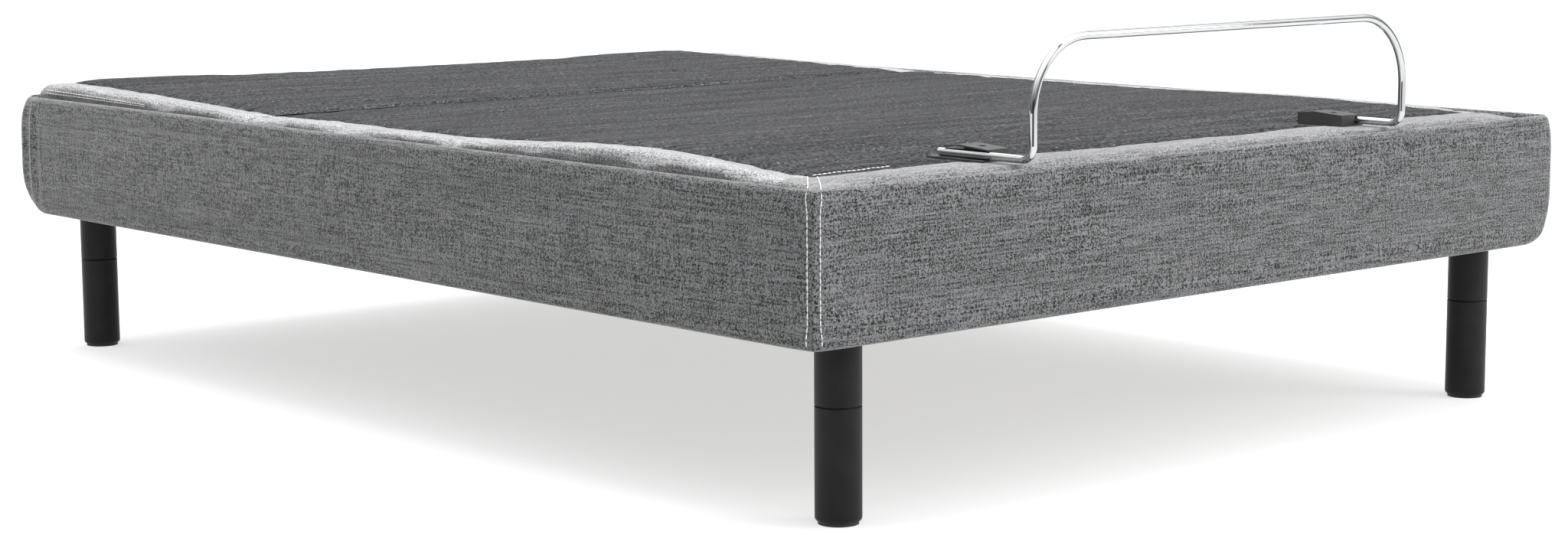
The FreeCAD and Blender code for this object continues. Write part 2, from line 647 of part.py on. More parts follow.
def make_lifting_gear():
    """Levers, actuators and their brackets."""
    head_pivot = (HEAD_ACTUATOR_Y, HEAD_PIVOT_Z)
    head_eye = lever_point(HEAD_Y, HEAD_LEVER_REST_ANGLE, LEVER_RADIUS, 0)
    thigh_pivot = (THIGH_ACTUATOR_Y, THIGH_PIVOT_Z)
    thigh_eye = lever_point(THIGH_Y, -THIGH_LEVER_REST_ANGLE, LEVER_RADIUS, 0)
    save("head_levers", levers(HEAD_Y, HEAD_LEVER_REST_ANGLE, HEAD_TRAVEL, HEAD_LEVER_X,
                               HEAD_Y + TUBE_FROM_HINGE))
    save("thigh_levers", levers(THIGH_Y, -THIGH_LEVER_REST_ANGLE, THIGH_TRAVEL, THIGH_LEVER_X,
                                THIGH_Y - TUBE_FROM_HINGE - SECTION_TUBE))
    make_actuator("head", HEAD_LEVER_X, head_pivot, head_eye, -1)
    make_actuator("thigh", THIGH_LEVER_X, thigh_pivot, thigh_eye, 1)
    save("actuator_brackets", rear_bracket(HEAD_LEVER_X, head_pivot)
         + rear_bracket(THIGH_LEVER_X, thigh_pivot))
    save("frame_pivot_pins", [pin_across(HEAD_LEVER_X, head_pivot, REAR_PIN_RADIUS),
                              pin_across(THIGH_LEVER_X, thigh_pivot, REAR_PIN_RADIUS)]
         + link_pins((LINK_Y, LINK_PIVOT_HEIGHT)))


# ---- links ---------------------------------------------------------------------------------

def link_bracket(point, base_z):
    """Plate beside a link that carries its pivot pin, from base_z to the pivot."""
    x0 = LEG_X + LINK_THICKNESS / 2 + LINK_SIDE_GAP
    x1 = x0 + LINK_BRACKET_THICKNESS
    half = LINK_BRACKET_HALF_WIDTH
    web = box(x0, x1, point[0] - half, point[0] + half, min(base_z, point[1]),
              max(base_z, point[1]))
    plate = web.fuse(rod_x(x0, x1, point[0], point[1], half)).removeSplitter()
    return plate.cut(rod_x(x0, x1, point[0], point[1], LINK_PIN_RADIUS))


def link_pins(point):
    """The headed pins of a pair of links at one (y, z) pivot."""
    head_x1 = LEG_X - LINK_THICKNESS / 2 - LINK_SIDE_GAP
    head_x0 = head_x1 - PIN_HEAD_THICKNESS
    end = LEG_X + LINK_THICKNESS / 2 + LINK_SIDE_GAP + LINK_BRACKET_THICKNESS
    head = rod_x(head_x0, head_x1, point[0], point[1], PIN_HEAD_RADIUS)
    pin = head.fuse(rod_x(head_x0, end, point[0], point[1], LINK_PIN_RADIUS)).removeSplitter()
    return both_sides(pin)


def make_links():
    """The links that hold the foot section level, with their brackets and pins."""
    low = (LINK_Y, LINK_PIVOT_HEIGHT)
    high = (LINK_Y + LINK_RUN, LINK_PIVOT_HEIGHT + LINK_DROP)
    x0 = LEG_X - LINK_THICKNESS / 2
    x1 = LEG_X + LINK_THICKNESS / 2
    link = slot_x(x0, x1, low, high, LINK_HALF_WIDTH)
    link = link.cut([rod_x(x0, x1, low[0], low[1], LINK_PIN_RADIUS + RUNNING_CLEARANCE),
                     rod_x(x0, x1, high[0], high[1], LINK_PIN_RADIUS + LINK_OPEN_CLEARANCE)])
    right, left = both_sides(link)
    save("foot_link_right", right)
    save("foot_link_left", left)
    save("link_frame_brackets", both_sides(link_bracket(low, FRAME_TOP)))
    save("link_foot_brackets", both_sides(link_bracket(high, SECTION_TUBE_BOTTOM)))
    save("link_foot_pins", link_pins(high))


# ---- electrics -----------------------------------------------------------------------------

def electric_box(size, x, y, z0, socket_side):
    """A closed case with a row of sockets sunk in one side."""
    half_x, half_y = size[0] / 2, size[1] / 2
    case = box(x - half_x, x + half_x, y - half_y, y + half_y, z0, z0 + size[2])
    case = case.makeFillet(CASE_CORNER, vertical_edges(case))
    width, depth, height = SOCKET_SIZE
    face_y = y + socket_side * half_y
    pockets = []
    for place in (-1.5, -0.5, 0.5, 1.5):
        centre = x + place * SOCKET_PITCH
        y0, y1 = sorted((face_y, face_y - socket_side * depth))
        pockets.append(box(centre - width / 2, centre + width / 2, y0, y1,
                           z0 + size[2] / 2 - height / 2, z0 + size[2] / 2 + height / 2))
    return case.cut(pockets)


def make_electrics():
    """Control box under the seat board, power supply on a frame tube."""
    seat_middle = (THIGH_Y + HEAD_Y) / 2
    save("control_box", electric_box(CONTROL_BOX, CONTROL_BOX_X, seat_middle,
                                     BOARD_BOTTOM - CONTROL_BOX[2], -1))
    save("power_supply", electric_box(SUPPLY_BOX, SUPPLY_BOX_X, THIGH_ACTUATOR_Y,
                                      FRAME_TOP, -1))


# ---- retainer bar and its clips ----------------------------------------------------------------

def bar_path():
    """Centre line of the bar: two low legs, two uprights and a top rail, bent from one rod."""
    low_y = FOOT_FACE + BAR_REACH
    low, up, top = BAR_LOW_BEND, BAR_LOW_Z + BAR_LOW_BEND, BAR_TOP_Z - BAR_TOP_BEND
    diagonal = math.sqrt(0.5)
    edges = []
    for side in (-1, 1):
        x = side * BAR_X
        corner_y = BAR_Y + low
        edges.append(Part.makeLine(vec(x, low_y, BAR_LOW_Z), vec(x, corner_y, BAR_LOW_Z)))
        middle = vec(x, corner_y - low * diagonal, up - low * diagonal)
        edges.append(Part.Arc(vec(x, corner_y, BAR_LOW_Z), middle, vec(x, BAR_Y, up)).toShape())
        edges.append(Part.makeLine(vec(x, BAR_Y, up), vec(x, BAR_Y, top)))
        inner_x = side * (BAR_X - BAR_TOP_BEND)
        middle = vec(inner_x + side * BAR_TOP_BEND * diagonal, BAR_Y,
                     top + BAR_TOP_BEND * diagonal)
        edges.append(Part.Arc(vec(x, BAR_Y, top), middle, vec(inner_x, BAR_Y, BAR_TOP_Z))
                     .toShape())
    reach = BAR_X - BAR_TOP_BEND
    edges.append(Part.makeLine(vec(-reach, BAR_Y, BAR_TOP_Z), vec(reach, BAR_Y, BAR_TOP_Z)))
    return Part.Wire(Part.__sortEdges__(edges))


def retainer_bar():
    """Round bar that keeps the mattress from sliding off the foot end."""
    start = vec(-BAR_X, FOOT_FACE + BAR_REACH, BAR_LOW_Z)
    profile = Part.Wire(Part.makeCircle(BAR_RADIUS, start, vec(0, 1, 0)))
    return bar_path().makePipeShell([profile], True, False)


def retainer_clip():
    """Folded sheet clip over the bar's end: top with a ridge, inner and foot walls."""
    outer_x = BAR_X + BAR_RADIUS + CLIP_LIP
    inner_x = outer_x - CLIP_WIDTH
    floor = PAD_TOP + SEAT_GAP
    y0, y1 = CLIP_Y, CLIP_Y + CLIP_LENGTH
    ridge_y = y0 + CLIP_LENGTH * CLIP_RIDGE_SHARE
    skin = [(y0, floor + CLIP_FOOT_HEIGHT), (ridge_y, floor + CLIP_RIDGE_HEIGHT),
            (y1, floor + CLIP_HEAD_HEIGHT)]
    under = [(y, z - CLIP_SHEET) for y, z in reversed(skin)]
    top = prism_x(skin + under, inner_x, BAR_X + CLIP_COVER)
    inner_wall = prism_x([(y0, floor)] + skin + [(y1, floor)], inner_x, inner_x + CLIP_SHEET)
    foot_wall = box(inner_x, BAR_X - BAR_RADIUS - SEAT_GAP, y0, y0 + CLIP_SHEET, floor,
                    floor + CLIP_FOOT_HEIGHT)
    tongue_x = BAR_X - TONGUE_WIDTH / 2
    base = box(inner_x, outer_x, y0, y1, floor, floor + CLIP_SHEET)
    tongue = box(tongue_x, tongue_x + TONGUE_WIDTH, y1, y1 + TONGUE_LENGTH, floor,
                 floor + CLIP_SHEET)
    clip = base.fuse([top, inner_wall, foot_wall, tongue]).removeSplitter()
    hole = CLIP_BOLT_RADIUS + CLIP_BOLT_CLEARANCE
    access = rod_z(CLIP_BOLT_X, CLIP_BOLT_Y, floor + CLIP_SHEET, floor + CLIP_RIDGE_HEIGHT,
                   hole + CLIP_ACCESS_CLEARANCE)
    return clip.cut([rod_z(CLIP_BOLT_X, CLIP_BOLT_Y, floor, floor + CLIP_SHEET, hole), access])


def clip_bolt():
    """Bolt through clip, pad and board, with its nut under the board."""
    seat = PAD_TOP + SEAT_GAP + CLIP_SHEET
    shank = rod_z(CLIP_BOLT_X, CLIP_BOLT_Y, BOARD_BOTTOM - BOLT_HEAD_HEIGHT, seat,
                  CLIP_BOLT_RADIUS)
    head = rod_z(CLIP_BOLT_X, CLIP_BOLT_Y, seat, seat + BOLT_HEAD_HEIGHT, BOLT_HEAD_RADIUS)
    nut = rod_z(CLIP_BOLT_X, CLIP_BOLT_Y, BOARD_BOTTOM - BOLT_HEAD_HEIGHT, BOARD_BOTTOM,
                BOLT_HEAD_RADIUS)
    return shank.fuse([head, nut]).removeSplitter()


def make_retainer():
    """Bar, clips and bolts on the foot section."""
    save("retainer_bar", retainer_bar())
    save("retainer_clips", both_sides(retainer_clip()))
    save("retainer_bolts", both_sides(clip_bolt()))


# ---- skirt ---------------------------------------------------------------------------------

def side_panel():
    """Right side panel of the skirt, the full length of the bed."""
    panel = box(SIDE_FACE - SKIRT_THICKNESS, SIDE_FACE, FOOT_FACE, HEAD_FACE,
                SKIRT_BOTTOM, SKIRT_TOP)
    outer = [edge for edge in vertical_edges(panel) if edge.CenterOfMass.x > SIDE_FACE - 1]
    foot = [edge for edge in outer if edge.CenterOfMass.y < 0]
    panel = panel.makeFillet(SKIRT_FOOT_CORNER, foot)
    head = [edge for edge in vertical_edges(panel)
            if edge.CenterOfMass.x > SIDE_FACE - 1 and edge.CenterOfMass.y > HEAD_FACE - 1]
    panel = panel.makeFillet(SKIRT_HEAD_CORNER, head)
    corner = box(SIDE_FACE - SKIRT_THICKNESS, SIDE_FACE, HEAD_FACE - SKIRT_BOTTOM_CORNER,
                 HEAD_FACE, SKIRT_BOTTOM, SKIRT_BOTTOM + SKIRT_BOTTOM_CORNER)
    round_bar = rod_x(SIDE_FACE - SKIRT_THICKNESS, SIDE_FACE,
                      HEAD_FACE - SKIRT_BOTTOM_CORNER, SKIRT_BOTTOM + SKIRT_BOTTOM_CORNER,
                      SKIRT_BOTTOM_CORNER)
    return panel.cut(corner.cut(round_bar))


def end_panel(y0):
    """Skirt panel across an end, between the side panels."""
    reach = SIDE_FACE - SKIRT_THICKNESS
    return box(-reach, reach, y0, y0 + SKIRT_THICKNESS, SKIRT_BOTTOM, SKIRT_TOP)


def skirt_bracket(reach):
    """Stepped sheet bracket from a frame tube's face to a panel's inner face, along +X."""
    sheet, flange = SKIRT_BRACKET_SHEET, SKIRT_BRACKET_FLANGE
    outline = [(0, -flange), (sheet, -flange), (sheet, 0), (reach, 0), (reach, flange),
               (reach - sheet, flange), (reach - sheet, sheet), (0, sheet)]
    points = [vec(x, -SKIRT_BRACKET_WIDTH / 2, z) for x, z in outline]
    face = Part.Face(Part.makePolygon(points + points[:1]))
    return face.extrude(vec(0, SKIRT_BRACKET_WIDTH, 0))


def placed_bracket(reach, x, y, turn):
    """A skirt bracket turned about Z and put against the frame at (x, y)."""
    bracket = skirt_bracket(reach)
    bracket.rotate(vec(0, 0, 0), vec(0, 0, 1), turn)
    bracket.translate(vec(x, y, FRAME_TOP - SKIRT_BRACKET_SHEET - TUBE_WALL))
    return bracket


def make_skirt():
    """The four upholstered skirt panels and the brackets that hold them."""
    right, left = both_sides(side_panel())
    save("skirt_right", right)
    save("skirt_left", left)
    save("skirt_foot", end_panel(FOOT_FACE))
    save("skirt_head", end_panel(HEAD_FACE - SKIRT_THICKNESS))
    side_reach = SIDE_FACE - SKIRT_THICKNESS - RAIL_OUTER
    end_reach = HEAD_FACE - SKIRT_THICKNESS - LEG_Y - FRAME_TUBE / 2
    brackets = []
    for y in (-LEG_Y * SIDE_BRACKET_SHARE, 0.0, LEG_Y * SIDE_BRACKET_SHARE):
        brackets += both_sides(placed_bracket(side_reach, RAIL_OUTER, y, 0))
    for x in (-LEG_X * END_BRACKET_SHARE, LEG_X * END_BRACKET_SHARE):
        brackets.append(placed_bracket(end_reach, x, LEG_Y + FRAME_TUBE / 2, 90))
        brackets.append(placed_bracket(end_reach, x, -LEG_Y - FRAME_TUBE / 2, -90))
    save("skirt_brackets", brackets)


os.makedirs("parts", exist_ok=True)
make_legs()
make_frame()
make_seat()
make_head()
make_thigh()
make_foot()
make_hinges()
make_lifting_gear()
make_links()
make_electrics()
make_retainer()
make_skirt()
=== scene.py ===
"""Adjustable bed base: the fabric, finishes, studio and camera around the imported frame."""
import json
import logging
import math
from dataclasses import dataclass, field
from enum import Enum

import bmesh
import bpy
from mathutils import Matrix, Vector, noise
from mathutils.bvhtree import BVHTree

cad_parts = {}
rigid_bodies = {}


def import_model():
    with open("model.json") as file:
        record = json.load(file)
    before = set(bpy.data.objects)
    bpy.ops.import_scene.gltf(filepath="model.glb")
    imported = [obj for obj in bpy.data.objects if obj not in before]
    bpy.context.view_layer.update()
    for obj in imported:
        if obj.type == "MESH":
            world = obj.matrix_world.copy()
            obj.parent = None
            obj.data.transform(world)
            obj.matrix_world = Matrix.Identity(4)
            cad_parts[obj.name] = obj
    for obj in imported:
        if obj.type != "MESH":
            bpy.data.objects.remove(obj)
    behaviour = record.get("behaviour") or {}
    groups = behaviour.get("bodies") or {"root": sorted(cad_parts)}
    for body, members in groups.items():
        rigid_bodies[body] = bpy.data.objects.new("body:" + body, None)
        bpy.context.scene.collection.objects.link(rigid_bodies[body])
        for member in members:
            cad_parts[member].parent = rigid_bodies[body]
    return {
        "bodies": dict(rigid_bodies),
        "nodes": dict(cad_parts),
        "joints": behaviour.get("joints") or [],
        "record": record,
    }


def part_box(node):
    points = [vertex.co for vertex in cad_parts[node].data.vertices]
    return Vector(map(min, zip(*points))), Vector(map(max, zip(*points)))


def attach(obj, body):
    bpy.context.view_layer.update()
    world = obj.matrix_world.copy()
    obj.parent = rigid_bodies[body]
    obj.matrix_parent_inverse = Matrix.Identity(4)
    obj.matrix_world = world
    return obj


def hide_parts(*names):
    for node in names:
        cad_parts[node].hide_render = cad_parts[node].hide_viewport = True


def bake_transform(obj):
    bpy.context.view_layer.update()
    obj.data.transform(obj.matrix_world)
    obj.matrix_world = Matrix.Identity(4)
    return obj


LOG = logging.getLogger("bed_base")
Value = bpy.types.NodeSocket | float | tuple[float, ...]


class Grain(Enum):
    """Which way a cloth's thick yarns run, as the scale of its pattern along X, Y and Z."""

    ACROSS = (0.04, 1.0, 1.0)
    ALONG = (1.0, 0.04, 1.0)

    def drawn_out(self, times: float) -> tuple[float, ...]:
        """The same direction, drawn out some times further."""
        return tuple(part / times if part < 1.0 else part for part in self.value)


def smooth(low: float, high: float, value: float) -> float:
    """Soft step from 0 at low to 1 at high.

    Args:
        low: where the step starts.
        high: where the step ends.
        value: the place to read it.

    Returns:
        The step's height there, from 0 to 1.
    """
    share = min(1.0, max(0.0, (value - low) / (high - low)))
    return share * share * (3.0 - 2.0 * share)


def hump(centre: float, half_width: float, value: float) -> float:
    """Soft bump that is 1 at its centre and 0 past half_width from it."""
    return 1.0 - smooth(0.0, half_width, abs(value - centre))


def mesh_object(name: str, bm: bmesh.types.BMesh) -> bpy.types.Object:
    """Turn a bmesh into a smooth-shaded object at the origin.

    Args:
        name: the piece's name.
        bm: its shape, which is freed.

    Returns:
        The new object, linked to the scene.
    """
    bmesh.ops.remove_doubles(bm, verts=bm.verts, dist=1e-6)
    bmesh.ops.recalc_face_normals(bm, faces=bm.faces)
    mesh = bpy.data.meshes.new(name)
    bm.to_mesh(mesh)
    bm.free()
    mesh.polygons.foreach_set("use_smooth", [True] * len(mesh.polygons))
    piece = bpy.data.objects.new(name, mesh)
    bpy.context.scene.collection.objects.link(piece)
    return piece


def surface(piece: bpy.types.Object) -> BVHTree:
    """A piece's surface, for laying thread on it."""
    mesh = piece.data
    return BVHTree.FromPolygons([vertex.co for vertex in mesh.vertices],
                                [face.vertices[:] for face in mesh.polygons])


def block(low: Vector, high: Vector) -> bmesh.types.BMesh:
    """A plain block between two corners, as a bmesh."""
    bm = bmesh.new()
    bmesh.ops.create_cube(bm, size=1.0)
    bmesh.ops.scale(bm, vec=high - low, verts=bm.verts)
    bmesh.ops.translate(bm, vec=(low + high) / 2, verts=bm.verts)
    return bm


def cut_across(bm: bmesh.types.BMesh, axis: Vector, places: list[float]) -> None:
    """Cut new edge loops square to an axis at each place.

    Args:
        bm: the shape to cut.
        axis: unit vector square to the cuts.
        places: the cuts' distances along it.
    """
    for place in places:
        bmesh.ops.bisect_plane(bm, geom=[*bm.verts, *bm.edges, *bm.faces], dist=1e-6,
                               plane_co=axis * place, plane_no=axis)


def evenly(start: float, end: float, step: float) -> list[float]:
    """Places between start and end, about a step apart, without the two ends."""
    count = max(1, round((end - start) / step))
    return [start + (end - start) * i / count for i in range(1, count)]


# ---- finishes ----------------------------------------------------------------------------------


class NodeTree:
    """Short way to build a material's nodes."""

    def __init__(self, name: str) -> None:
        """Start a material with one Principled shader."""
        self.material = bpy.data.materials.new(name)
        self.material.use_nodes = True
        self.tree = self.material.node_tree
        self.shader = self.tree.nodes["Principled BSDF"]

    def add(self, kind: str, settings: dict | None = None, **inputs: Value) -> bpy.types.Node:
        """Add a node.

        Args:
            kind: the node's type, without ShaderNode.
            settings: properties to set on it.
            **inputs: sockets by name with underscores for spaces: values, or sockets to link.

        Returns:
            The node.
        """
        node = self.tree.nodes.new("ShaderNode" + kind)
        for key, value in (settings or {}).items():
            setattr(node, key, value)
        for key, value in inputs.items():
            self.join(value, node.inputs[key.replace("_", " ")])
        return node

    def join(self, value: Value, socket: bpy.types.NodeSocket) -> None:
        """Link a socket, or set a plain value on it."""
        if isinstance(value, bpy.types.NodeSocket):
            self.tree.links.new(value, socket)
        else:
            socket.default_value = value

    def place(self, scale: tuple[float, float, float]) -> bpy.types.NodeSocket:
        """Object coordinates stretched by a scale."""
        source = self.add("TexCoord").outputs["Object"]
        return self.add("Mapping", Vector=source, Scale=scale).outputs["Vector"]

    def noise(self, place: Value, scale: float, detail: float = 2.0,
              roughness: float = 0.5) -> bpy.types.NodeSocket:
        """Noise value at a place, as a socket."""
        return self.add("TexNoise", Vector=place, Scale=scale, Detail=detail,
                        Roughness=roughness).outputs["Fac"]

    def ramp(self, value: Value, stops: list[tuple[float, tuple]]) -> bpy.types.NodeSocket:
        """Colour ramp with the given stops, as a socket."""
        node = self.add("ValToRGB", Fac=value)
        elements = node.color_ramp.elements
        while len(elements) < len(stops):
            elements.new(0.5)
        for element, (position, colour) in zip(elements, stops):
            element.position = position
            element.color = (*colour, 1.0)
        return node.outputs["Color"]

    def mix(self, share: Value, first: Value, second: Value,
            blend: str = "MIX") -> bpy.types.NodeSocket:
        """Mix two colours, as a socket."""
        node = self.tree.nodes.new("ShaderNodeMix")
        node.data_type = "RGBA"
        node.blend_type = blend
        self.join(share, node.inputs[0])
        self.join(first, node.inputs[6])
        self.join(second, node.inputs[7])
        return node.outputs[2]

    def math(self, operation: str, first: Value, second: Value = 0.5) -> bpy.types.NodeSocket:
        """Arithmetic on two values, as a socket."""
        node = self.add("Math", {"operation": operation})
        self.join(first, node.inputs[0])
        self.join(second, node.inputs[1])
        return node.outputs[0]

    def bump(self, height: Value, strength: float, distance: float) -> None:
        """Drive the shader's normal by a height."""
        node = self.add("Bump", Height=height, Strength=strength, Distance=distance)
        self.tree.links.new(node.outputs["Normal"], self.shader.inputs["Normal"])


class SkyTree(NodeTree):
    """The same short way for the room's light."""

    def __init__(self, name: str) -> None:
        """Start a world with one background."""
        self.world = bpy.data.worlds.new(name)
        self.world.use_nodes = True
        self.tree = self.world.node_tree
        self.background = self.tree.nodes["Background"]


def grey(value: float) -> tuple[float, float, float]:
    """A neutral colour of one value."""
    return (value, value, value)


@dataclass(frozen=True)
class ClothFinish:
    """Woven upholstery of mixed light and dark yarns.

    Attributes:
        name: the material's name.
        dark: colour of its darkest yarns.
        light: colour of its lightest yarns.
        grain: which way its thick yarns run.
        lint: how strongly pale specks show.
        mottle: how much darker its thin bands are.
        fineness: scale of its heather.
        slubs: how strongly its long pale yarns show.
        sheen: strength of its soft edge glow.
        gloss: specular level.
    """

    name: str
    dark: tuple[float, float, float]
    light: tuple[float, float, float]
    grain: Grain
    lint: float = 0.0
    mottle: float = 0.10
    fineness: float = 420.0
    slubs: float = 0.28
    sheen: float = 0.55
    gloss: float = 0.15

    def material(self) -> bpy.types.Material:
        """Build the cloth: fine heather, long thick yarns both ways, soft bands and relief."""
        tree = NodeTree(self.name)
        plain = tree.place((1.0, 1.0, 1.0))
        yarn = tree.place(self.grain.value)
        upright = tree.place((1.0, 1.0, 0.1))
        heather = tree.noise(plain, self.fineness, 2.0, 0.8)
        weft = tree.noise(yarn, 430.0, 1.0, 0.5)
        warp = tree.noise(upright, 360.0, 1.0, 0.5)
        slub = tree.noise(tree.place(self.grain.drawn_out(3.5)), 300.0, 0.0, 0.5)
        band = tree.noise(yarn, 70.0, 2.0, 0.5)
        cloud = tree.noise(plain, 3.0, 2.0, 0.5)
        height = tree.math("MULTIPLY_ADD", weft, 0.17)
        self.add_to(tree, height, tree.math("MULTIPLY", warp, 0.13))
        weave = tree.math("MULTIPLY_ADD", heather, 0.70)
        self.add_to(tree, weave, height)
        colour = tree.ramp(weave, [(0.43, self.dark), (0.57, self.light)])
        thread = tree.ramp(slub, [(0.63, grey(0.0)), (0.72, grey(self.slubs))])
        colour = tree.mix(thread, colour, (*self.light, 1.0))
        shade = tree.ramp(band, [(0.40, grey(1.0 - self.mottle)), (0.60, grey(1.0))])
        colour = tree.mix(1.0, colour, shade, "MULTIPLY")
        shade = tree.ramp(cloud, [(0.3, grey(0.95)), (0.7, grey(1.0))])
        colour = tree.mix(1.0, colour, shade, "MULTIPLY")
        if self.lint > 0.0:
            specks = tree.add("TexVoronoi", Vector=plain, Scale=60.0).outputs["Distance"]
            speck = tree.ramp(specks, [(0.055, grey(self.lint)), (0.095, grey(0.0))])
            colour = tree.mix(speck, colour, (0.5, 0.5, 0.5, 1.0))
        tree.join(colour, tree.shader.inputs["Base Color"])
        tree.bump(weave, 0.5, 0.0007)
        tree.shader.inputs["Roughness"].default_value = 0.92
        tree.shader.inputs["Specular IOR Level"].default_value = self.gloss
        tree.shader.inputs["Sheen Weight"].default_value = self.sheen
        tree.shader.inputs["Sheen Roughness"].default_value = 0.35
        return tree.material

    @staticmethod
    def add_to(tree: NodeTree, product: bpy.types.NodeSocket, extra: Value) -> None:
        """Fill in the added value of a multiply-and-add."""
        tree.join(extra, product.node.inputs[2])


@dataclass(frozen=True)
class MetalFinish:
    """Bare or plated metal.

    Attributes:
        name: the material's name.
        colour: its colour.
        rough: its mean roughness.
        streak: pattern scale along X, Y and Z, which draws out its brushing.
        relief: strength of the fine bump.
    """

    name: str
    colour: tuple[float, float, float]
    rough: float
    streak: tuple[float, float, float] = (1.0, 1.0, 1.0)
    relief: float = 0.02

    def material(self) -> bpy.types.Material:
        """Build the metal: slightly uneven gloss and fine handling marks."""
        tree = NodeTree(self.name)
        fine = tree.noise(tree.place(self.streak), 240.0, 3.0, 0.6)
        worn = tree.noise(tree.place((1.0, 1.0, 1.0)), 18.0, 2.0, 0.5)
        rough = tree.math("MULTIPLY", worn, self.rough)
        rough = tree.math("ADD", rough, self.rough * 0.5)
        tree.join(rough, tree.shader.inputs["Roughness"])
        tint = tree.ramp(worn, [(0.35, tuple(c * 0.93 for c in self.colour)),
                                (0.65, self.colour)])
        tree.join(tint, tree.shader.inputs["Base Color"])
        tree.shader.inputs["Metallic"].default_value = 1.0
        tree.bump(fine, self.relief, 0.0003)
        return tree.material


@dataclass(frozen=True)
class CoatFinish:
    """Paint, powder coat, plastic or rubber.

    Attributes:
        name: the material's name.
        colour: its colour.
        rough: its mean roughness.
        peel: scale of its surface texture.
        relief: strength of that texture.
        gloss: specular level.
    """

    name: str
    colour: tuple[float, float, float]
    rough: float
    peel: float = 900.0
    relief: float = 0.15
    gloss: float = 0.4

    def material(self) -> bpy.types.Material:
        """Build the coat: orange-peel relief, dust and slightly uneven gloss."""
        tree = NodeTree(self.name)
        place = tree.place((1.0, 1.0, 1.0))
        peel = tree.noise(place, self.peel, 2.0, 0.5)
        dust = tree.noise(place, 30.0, 4.0, 0.6)
        rough = tree.math("MULTIPLY_ADD", dust, 0.16)
        rough.node.inputs[2].default_value = self.rough - 0.08
        tree.join(rough, tree.shader.inputs["Roughness"])
        tint = tree.ramp(dust, [(0.4, self.colour), (0.75, tuple(c * 1.25 + 0.004
                                                                  for c in self.colour))])
        tree.join(tint, tree.shader.inputs["Base Color"])
        tree.bump(peel, self.relief, 0.0003)
        tree.shader.inputs["Specular IOR Level"].default_value = self.gloss
        return tree.material


@dataclass(frozen=True)
class BoardFinish:
    """Bare engineered board with long fibres.

    Attributes:
        name: the material's name.
        dark: colour of the deep fibres.
        light: colour of the faces.
    """

    name: str
    dark: tuple[float, float, float]
    light: tuple[float, float, float]

    def material(self) -> bpy.types.Material:
        """Build the board: stretched fibre noise over a mottled ground."""
        tree = NodeTree(self.name)
        fibre = tree.noise(tree.place((0.08, 1.0, 1.0)), 260.0, 4.0, 0.65)
        mottle = tree.noise(tree.place((1.0, 1.0, 1.0)), 22.0, 3.0, 0.5)
        share = tree.math("MULTIPLY", fibre, mottle)
        colour = tree.ramp(share, [(0.15, self.dark), (0.4, self.light)])
        tree.join(colour, tree.shader.inputs["Base Color"])
        tree.bump(fibre, 0.3, 0.0005)
        tree.shader.inputs["Roughness"].default_value = 0.72
        return tree.material


